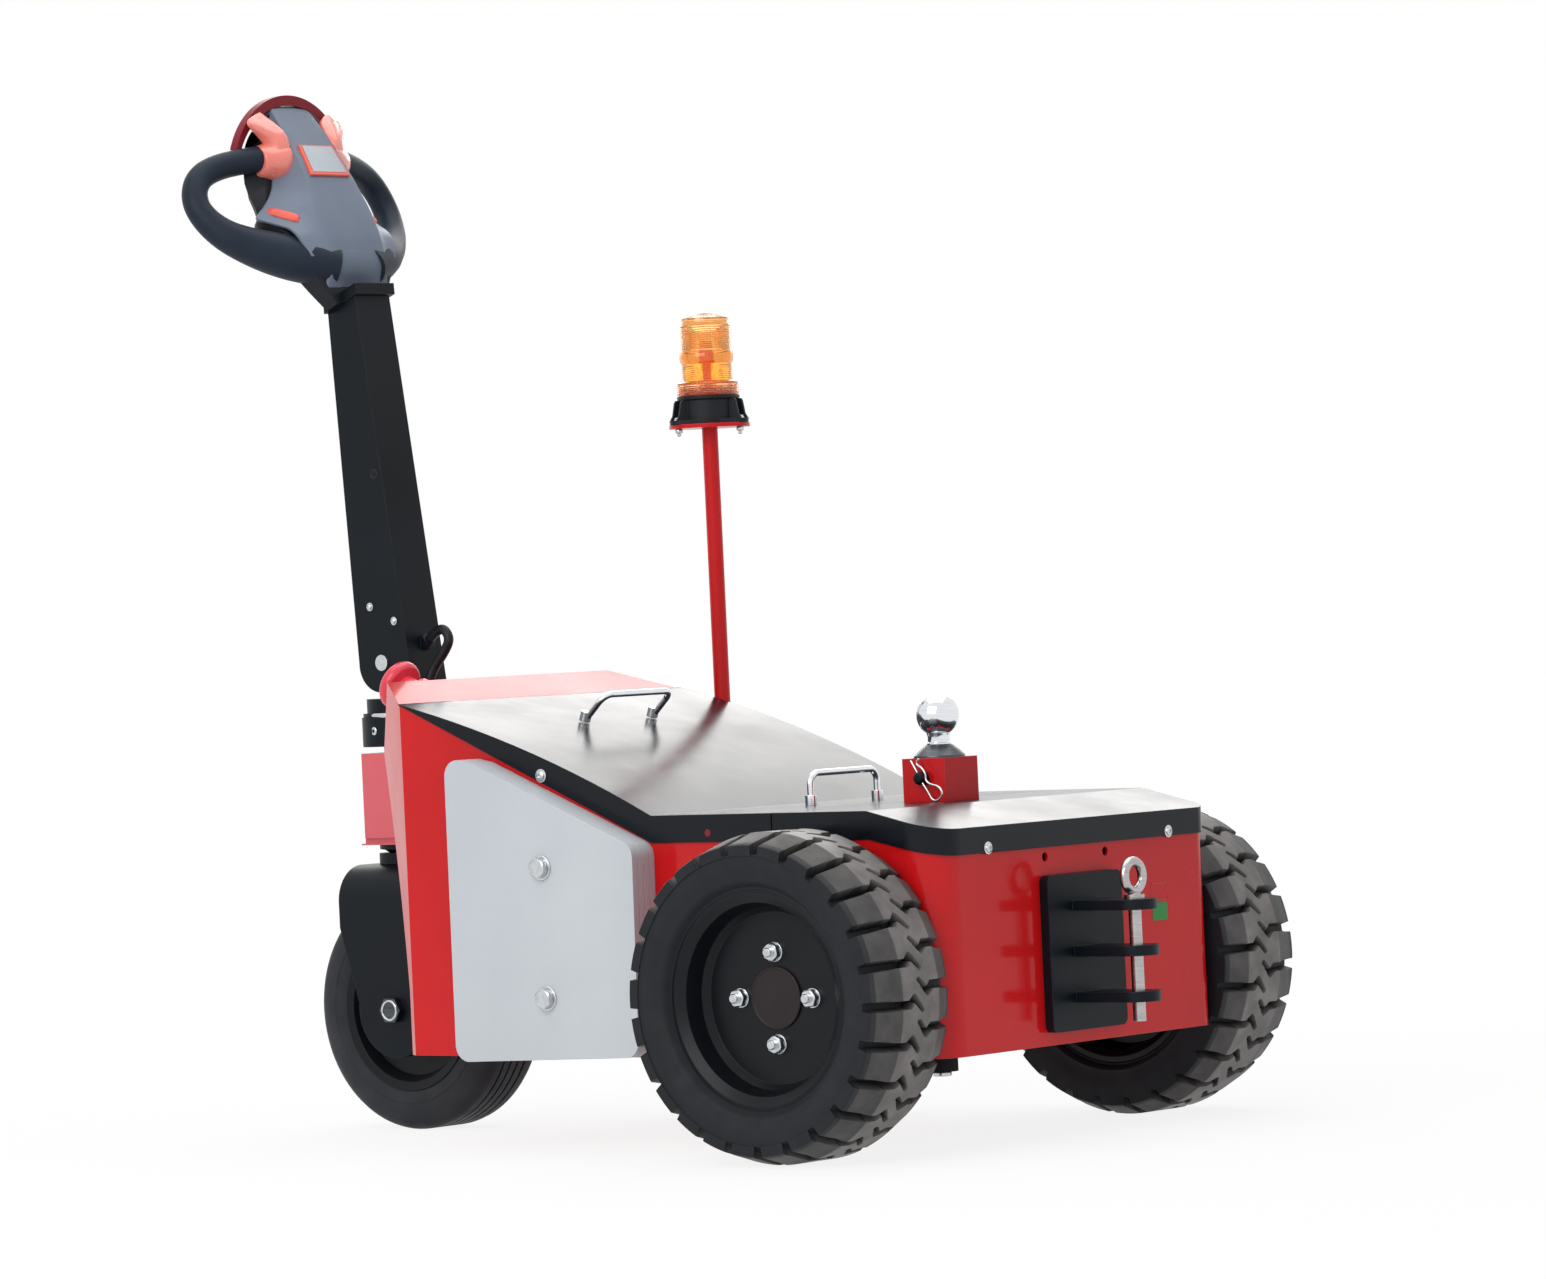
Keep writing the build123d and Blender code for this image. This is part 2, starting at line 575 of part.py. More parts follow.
def make_head():
    """Control head: black housing, grey console, two hand loops, throttles, belly bar."""
    with BuildPart() as console:
        for u, seam, face, low, high in CONSOLE_SECTIONS:
            with BuildSketch(head_section(u)):
                Polygon(
                    (-seam, -low), (-seam, -low - 3), (-face, -high), (face, -high), (seam, -low - 3),
                    (seam, -low), align=None,
                )
        loft(ruled=True)
    save(console.part, "head_console")
    with BuildPart() as housing:
        for u, front, back, high, low in HOUSING_SECTIONS:
            with BuildSketch(head_section(u)):
                Polygon(
                    (-front, -high), (-front, -HOUSING_SIDE_N), (-back, -low), (back, -low),
                    (front, -HOUSING_SIDE_N), (front, -high), align=None,
                )
        loft(ruled=True)
        # seated on the arm's collar, cut upright at the operator's end
        with BuildSketch(Plane.XZ):
            Polygon(
                (CAP_BACK[0] - 100, CAP_BACK[1] - 38), (CAP_BACK[0] - 100, 900), (CAP_FRONT[0] + 80, 900),
                (CAP_FRONT[0] + 80, CAP_FRONT[1] + 31), CAP_FRONT, CAP_BACK, align=None,
            )
        extrude(amount=160, both=True, mode=Mode.SUBTRACT)
        block(BELLY_X - 120, BELLY_X, -160, 160, 1000, 1400, Mode.SUBTRACT)
        add(console.part, mode=Mode.SUBTRACT)
    save(housing.part, "head_housing")
    with BuildPart() as loops:
        for side in (-1, 1):
            out = head_plane.x_dir * side * cos(LOOP_SWEEP) - head_plane.z_dir * sin(LOOP_SWEEP)
            square = head_plane.z_dir * cos(LOOP_SWEEP) + head_plane.x_dir * side * sin(LOOP_SWEEP)
            root = head_plane.from_local_coords(Vector(0, 0, LOOP_N))
            plane = Plane(origin=root, x_dir=out, z_dir=square)
            up = 1 if plane.y_dir.dot(head_plane.y_dir) > 0 else -1
            stretch = 1 / cos(LOOP_SWEEP)
            shoulder = (181 * stretch, up * 126)
            knee = (130 * stretch, up * 88)
            foot = (66 * stretch, up * 52)
            with BuildLine(plane) as path:
                FilletPolyline(
                    (40 * stretch, up * 204), (174 * stretch, up * 189), shoulder, knee, foot,
                    radius=(28, 26, 60),
                )
            with BuildSketch(Plane(origin=path.line @ 0, z_dir=path.line % 0)):
                Circle(LOOP_R)
            sweep(path=path.line)
            # the lower run swells from below the shoulder to the housing
            high, middle, low = [plane.from_local_coords(Vector(*point)) for point in (shoulder, knee, foot)]
            swell = ((high + (middle - high) * 0.35, middle, LOOP_R, LOOP_KNEE_R),
                     (middle, low, LOOP_KNEE_R, LOOP_ROOT_R))
            for start, end, start_r, end_r in swell:
                with BuildSketch(Plane(origin=start, z_dir=end - start)):
                    Circle(start_r)
                with BuildSketch(Plane(origin=end, z_dir=end - start)):
                    Circle(end_r)
                loft()
            with Locations(middle):
                Sphere(LOOP_KNEE_R)
        add(housing.part, mode=Mode.SUBTRACT)
        add(console.part, mode=Mode.SUBTRACT)
    save(loops.part, "hand_loops")
    with BuildPart() as belly:
        with BuildSketch(Plane.YZ.offset(BELLY_X - BELLY_T)):
            with BuildLine():
                rise = sin(BELLY_END)
                run = cos(BELLY_END)
                (out_y, out_z), (in_y, in_z) = [
                    (r * run, BELLY_Z + r * rise) for r in (BELLY_OUT, BELLY_IN[0])
                ]
                ThreePointArc((out_y, out_z), (0, BELLY_Z + BELLY_OUT), (-out_y, out_z))
                Line((-out_y, out_z), (-in_y, in_z))
                ThreePointArc((-in_y, in_z), (0, BELLY_Z + BELLY_IN[1]), (in_y, in_z))
                Line((in_y, in_z), (out_y, out_z))
            make_face()
        extrude(amount=BELLY_T)
        add(housing.part, mode=Mode.SUBTRACT)
        add(console.part, mode=Mode.SUBTRACT)
    save(belly.part, "belly_bar")
    with BuildPart() as throttles:
        for side in (-1, 1):
            root, end = [
                head_plane.from_local_coords(Vector(side * y, u, n)) for y, u, n in (HUB_ROOT, HUB_END)
            ]
            with BuildSketch(Plane(origin=root, z_dir=end - root)):
                Circle(HUB_ROOT_R)
            with BuildSketch(Plane(origin=end, z_dir=end - root)):
                Circle(HUB_END_R)
            loft()
            with BuildSketch(head_plane.offset(PADDLE_N[0])) as paddle:
                Polygon(*[(side * y, u) for y, u in PADDLE], align=None)
                fillet(paddle.vertices(), 5)
            extrude(amount=PADDLE_N[1] - PADDLE_N[0])
        add(housing.part, mode=Mode.SUBTRACT)
        add(console.part, mode=Mode.SUBTRACT)
        add(loops.part, mode=Mode.SUBTRACT)
        add(belly.part, mode=Mode.SUBTRACT)
    with BuildPart() as levers:
        for lever in throttles.solids().sort_by(SortBy.VOLUME)[-2:]:
            add(lever)
    save(levers.part, "throttles")
    with BuildPart() as display:
        with BuildSketch(head_plane.offset(23)):
            with Locations((0, 182)):
                Trapezoid(66, 46, 86)
        extrude(amount=6)
        add(console.part, mode=Mode.SUBTRACT)
    save(display.part, "head_display")


def make_cable():
    """Flexible control cable that loops out of the arm's foot and into the neck."""
    points = [Vector(*point) for point in CABLE_ROUTE]
    radii = []
    for before, here, after in zip(points, points[1:], points[2:]):
        turn = radians((here - before).get_angle(after - here))
        shorter = min((here - before).length, (after - here).length)
        radii.append(0.45 * shorter * cos(turn / 2) / sin(turn / 2))
    print("cable radii", [round(radius, 1) for radius in radii])
    with BuildPart() as cable:
        with BuildLine() as path:
            FilletPolyline(*points, radius=radii)
        with BuildSketch(Plane(origin=path.line @ 0, z_dir=path.line % 0)):
            Circle(CABLE_R)
        sweep(path=path.line)
    save(cable.part, "tiller_cable")


def make_ball():
    """Square post through the rear lid, ball mount and its pin."""
    half = POST / 2
    with BuildPart() as post:
        block(BALL_X - half, BALL_X + half, -half, half, POST_FOOT, POST_TOP)
        block(BALL_X - half, BALL_X + half, -SIDE_Y + WALL, SIDE_Y - WALL, POST_FOOT - 8, POST_FOOT)
        block(BALL_X - SHANK, BALL_X + SHANK, -SHANK, SHANK, POST_FOOT + 20, POST_TOP, Mode.SUBTRACT)
        rod((BALL_X, -half - 5, PIN_Z), (BALL_X, half + 5, PIN_Z), POST_PIN_R, Mode.SUBTRACT)
    save(post.part, "ball_post")
    with BuildPart() as ball:
        block(BALL_X - SHANK, BALL_X + SHANK, -SHANK, SHANK, POST_FOOT + 20, POST_TOP)
        with BuildSketch(Plane.XZ):
            with BuildLine():
                Polyline(
                    (0, POST_TOP), (29, POST_TOP), (29, POST_TOP + 3), (14, POST_TOP + 12), (12, BALL_Z - 21),
                )
                ThreePointArc(
                    (12, BALL_Z - 21), (BALL_R, BALL_Z), (8, BALL_Z + (BALL_R ** 2 - 64) ** 0.5),
                )
                Polyline((8, BALL_Z + (BALL_R ** 2 - 64) ** 0.5), (0, BALL_Z + (BALL_R ** 2 - 64) ** 0.5),
                         (0, POST_TOP))
            make_face()
        ball_turn = revolve(axis=Axis.Z, mode=Mode.PRIVATE)
        add(ball_turn.moved(Location((BALL_X, 0, 0))))
        rod((BALL_X, -half - 5, PIN_Z), (BALL_X, half + 5, PIN_Z), POST_PIN_R, Mode.SUBTRACT)
    save(ball.part, "tow_ball")
    with BuildPart() as pin:
        rod((BALL_X, -half - 14, PIN_Z), (BALL_X, half, PIN_Z), POST_PIN_R)
        rod((BALL_X, half, PIN_Z), (BALL_X, half + 6, PIN_Z), 12)
    save(pin.part, "ball_mount_pin")


def make_hitch():
    """Plate with three tongues, and the eye pin dropped through them."""
    with BuildPart() as bracket:
        with BuildSketch(Plane.YZ.offset(REAR_X)) as plate:
            with Locations((0, 217.5)):
                RectangleRounded(2 * HITCH_Y, 181, 9)
        extrude(plate.sketch, amount=HITCH_FACE_X - REAR_X)
        for z in TONGUES:
            with BuildSketch(Plane.XY.offset(z - TONGUE_T / 2)):
                with Locations((HITCH_PIN_X, 0)):
                    Circle(TONGUE_Y)
                with Locations(((HITCH_FACE_X + HITCH_PIN_X) / 2, 0)):
                    Rectangle(HITCH_PIN_X - HITCH_FACE_X, 2 * TONGUE_Y)
            extrude(amount=TONGUE_T)
        rod((HITCH_PIN_X, 0, 100), (HITCH_PIN_X, 0, 320), HITCH_PIN_R + 0.5, Mode.SUBTRACT)
    save(bracket.part, "hitch_bracket")
    with BuildPart() as pin:
        top = TONGUES[0] + TONGUE_T / 2
        with Locations((HITCH_PIN_X, 0, EYE_Z)):
            Torus(EYE_R, EYE_WIRE, rotation=(0, 90, 0))
        rod((HITCH_PIN_X, 0, 136), (HITCH_PIN_X, 0, top + 7), HITCH_PIN_R)
        rod((HITCH_PIN_X, 0, top), (HITCH_PIN_X, 0, top + 5), 12)
    save(pin.part, "hitch_pin")


def make_beacon():
    """Pole on the right-hand wall with the warning beacon."""
    with BuildPart() as pole:
        rod((POLE_X, POLE_Y, 330), (POLE_X, POLE_Y, POLE_TOP), POLE_R)
        for z in (350, 460):
            block(POLE_X - 16, POLE_X + 16, SIDE_Y, POLE_Y + POLE_R + 4, z, z + 30)
        rod((POLE_X, POLE_Y, POLE_TOP), (POLE_X, POLE_Y, POLE_TOP + 5), 51)
    save(pole.part, "beacon_pole")
    z0 = POLE_TOP + 5
    with BuildPart() as foot:
        rod((POLE_X, POLE_Y, z0), (POLE_X, POLE_Y, z0 + 5), 50)
        rod((POLE_X, POLE_Y, z0 + 5), (POLE_X, POLE_Y, z0 + BASE_H), 42)
    save(foot.part, "beacon_base")
    z1 = z0 + BASE_H
    with BuildPart() as lens:
        with BuildSketch(Plane.XZ):
            with BuildLine():
                Polyline(
                    (0, z1), (38, z1), (39, z1 + 4), (39, z1 + 16), (31.5, z1 + 19), (31.5, z1 + 41),
                    (33, z1 + 43), (33, z1 + 56), (31.5, z1 + 58), (31.5, z1 + 90), (28.5, z1 + 93),
                    (28.5, z1 + 98),
                )
                ThreePointArc((28.5, z1 + 98), (16, z1 + 105), (4, z1 + 107))
                Polyline((4, z1 + 107), (0, z1 + 107), (0, z1))
            make_face()
        turned = revolve(axis=Axis.Z, mode=Mode.PRIVATE)
        add(turned.moved(Location((POLE_X, POLE_Y, 0))))
    save(lens.part, "beacon_lens")


def make_emergency_stop():
    """Mushroom stop button on the nose's upper slope."""
    slope = Vector(NOSE_X - NOSE_TOP_X, 0, NOSE_Z - NOSE_TOP_Z).normalized()
    face = Vector(slope.Z, 0, -slope.X)
    foot = Vector(NOSE_TOP_X, 0, NOSE_TOP_Z) + slope * STOP_DOWN + Vector(0, STOP_Y, 0)
    with BuildPart() as stop:
        with BuildSketch(Plane.XZ):
            with BuildLine():
                Polyline((0, 0), (23, 0), (23, 9), (16, 11), (16, 32), (27, 34))
                ThreePointArc((27, 34), (31, 41), (29, 48))
                ThreePointArc((29, 48), (17, 56), (4, 58))
                Polyline((4, 58), (0, 58), (0, 0))
            make_face()
        turned = revolve(axis=Axis.Z, mode=Mode.PRIVATE)
        add(turned.moved(Plane(origin=foot, z_dir=face).location))
    save(stop.part, "emergency_stop")


make_chassis_shell()
make_drive_unit()
make_headstock()
make_ballast()
make_covers()
make_grab_handle("front_grab_handle", (DRIVE_X - 525, 0, 504.2), (0.34, 0, 0.94), (34, 0, 31))
make_grab_handle("rear_grab_handle", (DRIVE_X - 176, 0, DECK_Z), (0, 0, 1), (0, 0, 38))
lug_tyre = drive_tyre()
for side, hand in ((-1, "left"), (1, "right")):
    place = wheel_location(DRIVE_X, side * WHEEL_Y, TYRE_R)
    save(lug_tyre.moved(place), f"drive_tyre_{hand}")
    make_drive_rim(side, f"drive_rim_{hand}")
make_swivel_wheel()
make_steering()
make_tiller_arm()
make_cable()
make_head()
make_ball()
make_hitch()
make_beacon()
make_emergency_stop()
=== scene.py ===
"""Pedestrian electric tow tug: materials, fine pieces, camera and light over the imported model."""

import json
import math

import bmesh
import bpy
from mathutils import Matrix, Vector


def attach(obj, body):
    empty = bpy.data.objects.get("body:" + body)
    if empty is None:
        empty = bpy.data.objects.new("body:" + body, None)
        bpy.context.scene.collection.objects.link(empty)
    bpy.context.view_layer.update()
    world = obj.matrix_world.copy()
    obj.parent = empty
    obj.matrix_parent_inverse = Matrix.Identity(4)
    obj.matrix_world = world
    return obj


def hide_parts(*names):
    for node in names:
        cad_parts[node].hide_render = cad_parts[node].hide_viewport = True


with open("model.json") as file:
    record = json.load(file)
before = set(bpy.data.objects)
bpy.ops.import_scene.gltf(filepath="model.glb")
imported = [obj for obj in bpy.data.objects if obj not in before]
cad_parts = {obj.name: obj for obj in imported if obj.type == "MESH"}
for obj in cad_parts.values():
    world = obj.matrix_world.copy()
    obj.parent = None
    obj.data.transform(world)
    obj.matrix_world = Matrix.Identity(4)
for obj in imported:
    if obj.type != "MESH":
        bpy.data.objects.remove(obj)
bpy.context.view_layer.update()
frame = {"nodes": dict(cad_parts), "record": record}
nodes = frame["nodes"]

AX = 0.3931                    # drive axle's place on X, in metres

# places in millimetres from the drive axle, the middle plane and the floor
WHEEL_R = 189                  # drive wheels' radius
WHEEL_Y = 334                  # middle of the drive tyres
HUB_Y = 356                    # outer face of the drive wheels' hubs
SWIVEL_X, SWIVEL_R = -857, 152
FORK_END_Y = 78                # outer face of the swivel axle's nuts
STEER_X = -883
ARM_Y = 32                     # half-width of the tiller arm
HEAD_END_X = -1029             # the control head's housing stops here
SHELL_END_X = 162.8            # the body's hitch-end wall
LID_Y = 264.9                  # outer face of the lids' sides
LID_END_X = 165.9              # outer face of the rear lid's end
BALLAST_BOLT_X, BALLAST_Y = -395, 302
BALL_X = -29.5
POLE_X, POLE_Y = -593, 281
GEARBOX_X = -47


def at(x, y, z):
    """A point given in millimetres from the drive axle, the middle plane and the floor."""
    return Vector((AX + x / 1000, y / 1000, z / 1000))


# ---------------------------------------------------------------- camera
right = Vector((0.77138, 0.63465, -0.04689))
up = Vector((0.03352, 0.03307, 0.99889))
ahead = Vector((-0.63550, 0.77209, -0.00424))
eye = at(4817.9, -6187.1, 626.8)
cam_data = bpy.data.cameras.new("Camera")
cam_data.sensor_width = 36
cam_data.lens = 155.56
cam_data.clip_start = 0.1
cam_data.clip_end = 200
camera = bpy.data.objects.new("Camera", cam_data)
camera.matrix_world = Matrix((
    (right.x, up.x, -ahead.x, eye.x),
    (right.y, up.y, -ahead.y, eye.y),
    (right.z, up.z, -ahead.z, eye.z),
    (0, 0, 0, 1),
))
bpy.context.scene.collection.objects.link(camera)
bpy.context.scene.camera = camera


# ---------------------------------------------------------------- materials
def rgb(r, g, b):
    """Scene-linear colour of a colour written 0-255."""
    return tuple(
        (v / 255 / 12.92) if v / 255 <= 0.04045 else ((v / 255 + 0.055) / 1.055) ** 2.4
        for v in (r, g, b)
    ) + (1.0,)


def new_node(tree, kind, inputs=(), **settings):
    """Adds a shader node to a tree, with its settings and its inputs."""
    made = tree.nodes.new("ShaderNode" + kind)
    for key, value in settings.items():
        setattr(made, key, value)
    for key, value in dict(inputs).items():
        if isinstance(value, bpy.types.NodeSocket):
            tree.links.new(value, made.inputs[key])
        else:
            made.inputs[key].default_value = value
    return made


class Surface:
    """A material under construction: one Principled shader and the nodes that feed it."""

    def __init__(self, name, **uniform):
        self.material = bpy.data.materials.new(name)
        self.material.use_nodes = True
        self.tree = self.material.node_tree
        self.shader = self.tree.nodes["Principled BSDF"]
        for socket, value in uniform.items():
            self.shader.inputs[socket.replace("_", " ")].default_value = value
        self.place = self.tree.nodes.new("ShaderNodeTexCoord").outputs["Object"]

    def node(self, kind, inputs=(), **settings):
        """A new node; each input is a socket to link or a value to set."""
        return new_node(self.tree, kind, inputs, **settings)

    def stretch(self, scale):
        """Object coordinates scaled by a vector, for streaks."""
        return self.node("Mapping", {"Vector": self.place, "Scale": scale}).outputs[0]

    def noise(self, scale, detail=4, place=None):
        return self.node("TexNoise", {
            "Vector": place or self.place, "Scale": scale, "Detail": detail, "Roughness": 0.55,
        }).outputs["Fac"]

    def ramp(self, value, *stops):
        """Value through a ramp; each stop is its position and its colour or grey."""
        ramp = self.node("ValToRGB", {"Fac": value})
        band = ramp.color_ramp
        while len(band.elements) < len(stops):
            band.elements.new(0.5)
        for element, (position, colour) in zip(band.elements, stops):
            element.position = position
            element.color = colour if isinstance(colour, tuple) else (colour,) * 3 + (1,)
        return ramp.outputs["Color"]

    def span(self, value, low, high, to_low, to_high):
        return self.node("MapRange", {
            "Value": value, "From Min": low, "From Max": high, "To Min": to_low, "To Max": to_high,
        }).outputs[0]

    def mix(self, share, first, second):
        return self.node("Mix", {0: share, 6: first, 7: second}, data_type="RGBA").outputs[2]

    def maths(self, operation, first, second):
        return self.node("Math", {0: first, 1: second}, operation=operation).outputs[0]

    def axis(self, letter):
        return self.node("SeparateXYZ", {0: self.place}).outputs[letter]

    def edges(self, radius):
        """1 along sharp edges and 0 on flat faces."""
        soft = self.node("Bevel", {"Radius": radius}, samples=6).outputs[0]
        hard = self.node("NewGeometry").outputs["True Normal"]
        same = self.node("VectorMath", {0: soft, 1: hard}, operation="DOT_PRODUCT").outputs["Value"]
        return self.span(self.maths("SUBTRACT", 1.0, same), 0.02, 0.25, 0, 1)

    def set(self, socket, value):
        self.tree.links.new(value, self.shader.inputs[socket])

    def relief(self, height, distance, strength=1.0, round_edges=0.0):
        inputs = {"Height": height, "Distance": distance, "Strength": strength}
        if round_edges:
            inputs["Normal"] = self.node("Bevel", {"Radius": round_edges}, samples=6).outputs[0]
        self.set("Normal", self.node("Bump", inputs).outputs[0])

    def on(self, obj):
        obj.data.materials.clear()
        obj.data.materials.append(self.material)
        return obj


def painted(name, colour, dark, rough, coat=0.0, grain=0.00012, round_edges=0.0012, wear_and_edge_highlight=None, spots=90,
            spec=0.25):
    """Sprayed paint: slow drift in colour, orange peel, and lighter edges that are partly wear and partly a
    painted highlight.
    """
    s = Surface(name, Coat_Weight=coat, Coat_Roughness=0.08, Specular_IOR_Level=spec)
    drift = s.ramp(s.noise(2.6, 5), (0.35, dark), (0.62, colour))
    fine = s.ramp(s.noise(spots, 3), (0.42, 0.0), (0.75, 1.0))
    tone = s.mix(s.maths("MULTIPLY", fine, 0.08), drift, dark)
    if wear_and_edge_highlight:
        # edges lightened with this colour: partly wear, partly a painted highlight
        rim = s.maths("MULTIPLY", s.edges(0.002), s.span(s.noise(34), 0.42, 0.62, 0.15, 0.75))
        tone = s.mix(rim, tone, wear_and_edge_highlight)
    s.set("Base Color", tone)
    s.set("Roughness", s.span(s.noise(7, 5), 0.3, 0.7, rough - 0.04, rough + 0.07))
    s.relief(s.noise(420, 2), grain, 0.5, round_edges)
    return s


def moulded(name, colour, dark, rough, pebble=900, height=0.00006, spec=0.2, coat=0.0):
    """Moulded plastic with a fine pebbled skin."""
    s = Surface(name, Coat_Weight=coat, Coat_Roughness=0.1, Specular_IOR_Level=spec)
    s.set("Base Color", s.ramp(s.noise(6, 4), (0.35, dark), (0.65, colour)))
    s.set("Roughness", s.span(s.noise(14, 4), 0.3, 0.7, rough - 0.05, rough + 0.08))
    cells = s.node("TexVoronoi", {"Vector": s.place, "Scale": pebble}).outputs["Distance"]
    s.relief(cells, height, 0.6, 0.0009)
    return s


def metal(name, colour, dark, rough, brush=(30, 30, 900), dull=0.25):
    """Plated or turned metal with fine tool marks and duller patches."""
    s = Surface(name, Metallic=1.0)
    marks = s.noise(1.0, 3, place=s.stretch(brush))
    bright = s.ramp(marks, (0.3, dark), (0.6, colour))
    s.set("Base Color", s.mix(s.maths("MULTIPLY", s.noise(60), dull), bright, dark))
    s.set("Roughness", s.span(s.noise(45, 4), 0.3, 0.7, max(0.02, rough - 0.05), rough + 0.08))
    s.relief(marks, 0.00003, 0.4, 0.0006)
    return s


body_red = painted("body_red_paint", rgb(207, 22, 26), rgb(192, 15, 19), 0.3, coat=0.42,
                   wear_and_edge_highlight=rgb(222, 96, 92), spec=0.06)
trim_red = painted("trim_red_paint", rgb(207, 22, 26), rgb(188, 15, 19), 0.3, coat=0.2,
                   wear_and_edge_highlight=rgb(212, 92, 88), spec=0.12)
lid_black = painted("lid_black_paint", rgb(14, 20, 28), rgb(9, 14, 21), 0.2, grain=0.00004, spec=0.2)
ballast = painted("ballast_paint", rgb(197, 202, 206), rgb(186, 192, 197), 0.42, coat=0.05,
                  wear_and_edge_highlight=rgb(222, 226, 228), spec=0.25)
frame_black = painted("frame_black_paint", rgb(13, 20, 27), rgb(8, 14, 20), 0.38,
                      wear_and_edge_highlight=rgb(54, 60, 66), spec=0.16)
# pinker than the body red all over: a painted reflection washing out the headstock's red
headstock_red_painted_reflection = painted("headstock_paint_painted_reflection", rgb(214, 96, 106), rgb(200, 78, 88), 0.28, coat=0.3,
                        wear_and_edge_highlight=rgb(232, 130, 134), spec=0.35)
rim_black = painted("rim_black_paint", rgb(13, 16, 21), rgb(8, 10, 14), 0.34,
                    wear_and_edge_highlight=rgb(48, 54, 62), spec=0.2)
cast = painted("cast_paint", rgb(34, 37, 41), rgb(24, 26, 29), 0.5, grain=0.0004, spots=260, spec=0.15)
battery = moulded("battery_plastic", rgb(28, 30, 33), rgb(20, 22, 24), 0.42)
housing = moulded("housing_plastic", rgb(24, 28, 33), rgb(16, 19, 24), 0.40)
grip = moulded("grip_rubber", rgb(39, 48, 60), rgb(31, 38, 48), 0.46, pebble=700, spec=0.12, height=0.0001)
console = moulded("console_plastic", rgb(114, 124, 140), rgb(102, 112, 128), 0.38, pebble=1100)
control_orange = moulded("control_plastic", rgb(232, 96, 80), rgb(214, 78, 64), 0.34, pebble=1400,
                         height=0.00003, spec=0.4)
belly = moulded("belly_plastic", rgb(134, 34, 44), rgb(112, 24, 34), 0.34, pebble=1400, height=0.00003)
throttle_plastic = moulded("throttle_plastic", rgb(240, 142, 128), rgb(226, 110, 96), 0.2, pebble=1400,
                           height=0.00002, spec=0.6, coat=0.7)
stop_red = moulded("stop_plastic", rgb(228, 66, 86), rgb(212, 48, 68), 0.24, pebble=1600, height=0.00002,
                   spec=0.5)
zinc = metal("zinc_plate", (0.62, 0.64, 0.66, 1), (0.50, 0.52, 0.54, 1), 0.24, brush=(200, 200, 200))
chrome = metal("chrome_plate", (0.80, 0.82, 0.85, 1), (0.68, 0.70, 0.74, 1), 0.08, dull=0.1)
dark_steel = metal("dark_steel", (0.10, 0.11, 0.12, 1), (0.05, 0.055, 0.06, 1), 0.3)
# the hitch pin's zinc, darkened all over as a painted shade
pin_zinc_painted_shade = metal("pin_zinc_painted_shade", (0.50, 0.49, 0.49, 1), (0.36, 0.35, 0.35, 1), 0.24)


def cable_sheath():
    """Dull black cable jacket."""
    s = Surface("cable_sheath", Specular_IOR_Level=0.2)
    s.set("Base Color", s.ramp(s.noise(60), (0.3, rgb(20, 22, 25)), (0.7, rgb(30, 32, 36))))
    s.set("Roughness", s.span(s.noise(90), 0.3, 0.7, 0.32, 0.46))
    s.relief(s.noise(600, 2), 0.00008, 0.6)
    return s


def lug_rubber():
    """Tyre rubber: block tops lighter with dust and a painted sheen, browner shoulders, near-black grooves
    and walls.
    """
    s = Surface("lug_rubber", Specular_IOR_Level=0.3)
    clean = s.ramp(s.noise(9, 5), (0.3, rgb(13, 17, 22)), (0.7, rgb(21, 25, 31)))
    # grey of the block tops: partly dust, partly a painted sheen
    dust_and_sheen_tone = s.ramp(s.noise(26, 6), (0.3, rgb(96, 92, 90)), (0.75, rgb(136, 132, 129)))
    dust_and_sheen = s.node("Attribute", attribute_name="dust_and_sheen").outputs["Fac"]
    share = s.maths("MULTIPLY", dust_and_sheen, s.span(s.noise(34, 5), 0.3, 0.62, 0.7, 1.0))
    s.set("Base Color", s.mix(share, clean, dust_and_sheen_tone))
    s.set("Roughness", s.maths("SUBTRACT", s.span(s.noise(40, 5), 0.3, 0.7, 0.6, 0.72),
                               s.maths("MULTIPLY", dust_and_sheen, 0.22)))
    s.relief(s.noise(260, 5), 0.0003, 0.6)
    return s


def swivel_rubber():
    """Clean grey-black rubber with rounded ribs."""
    s = Surface("swivel_rubber", Specular_IOR_Level=0.15)
    s.set("Base Color", s.ramp(s.noise(12, 5), (0.3, rgb(34, 36, 40)), (0.7, rgb(52, 54, 58))))
    s.set("Roughness", s.span(s.noise(40, 5), 0.3, 0.7, 0.46, 0.62))
    s.relief(s.noise(280, 5), 0.0003, 0.6, 0.0012)
    return s


def amber_lens():
    """Clear amber plastic, redder in its foot ring, with fine flow marks."""
    s = Surface("amber_lens", Roughness=0.06, IOR=1.45, Transmission_Weight=0.94)
    height = s.axis("Z")
    tint = s.ramp(s.span(height, 0.90, 1.0, 0, 1), (0.0, rgb(232, 158, 118)), (0.17, rgb(236, 160, 112)),
                  (0.2, rgb(250, 196, 120)), (0.75, rgb(249, 196, 124)), (1.0, rgb(250, 206, 150)))
    s.set("Base Color", s.mix(s.maths("MULTIPLY", s.noise(40), 0.2), tint, rgb(246, 182, 108)))
    s.relief(s.noise(180, 2), 0.00004, 0.4)
    return s


def clear_dome():
    """Nearly clear cap of the lens."""
    s = Surface("lens_cap", Roughness=0.05, IOR=1.4, Transmission_Weight=0.96)
    s.set("Base Color", s.ramp(s.noise(30), (0.3, rgb(250, 226, 206)), (0.7, rgb(252, 234, 220))))
    s.relief(s.noise(120, 2), 0.00004, 0.4)
    return s


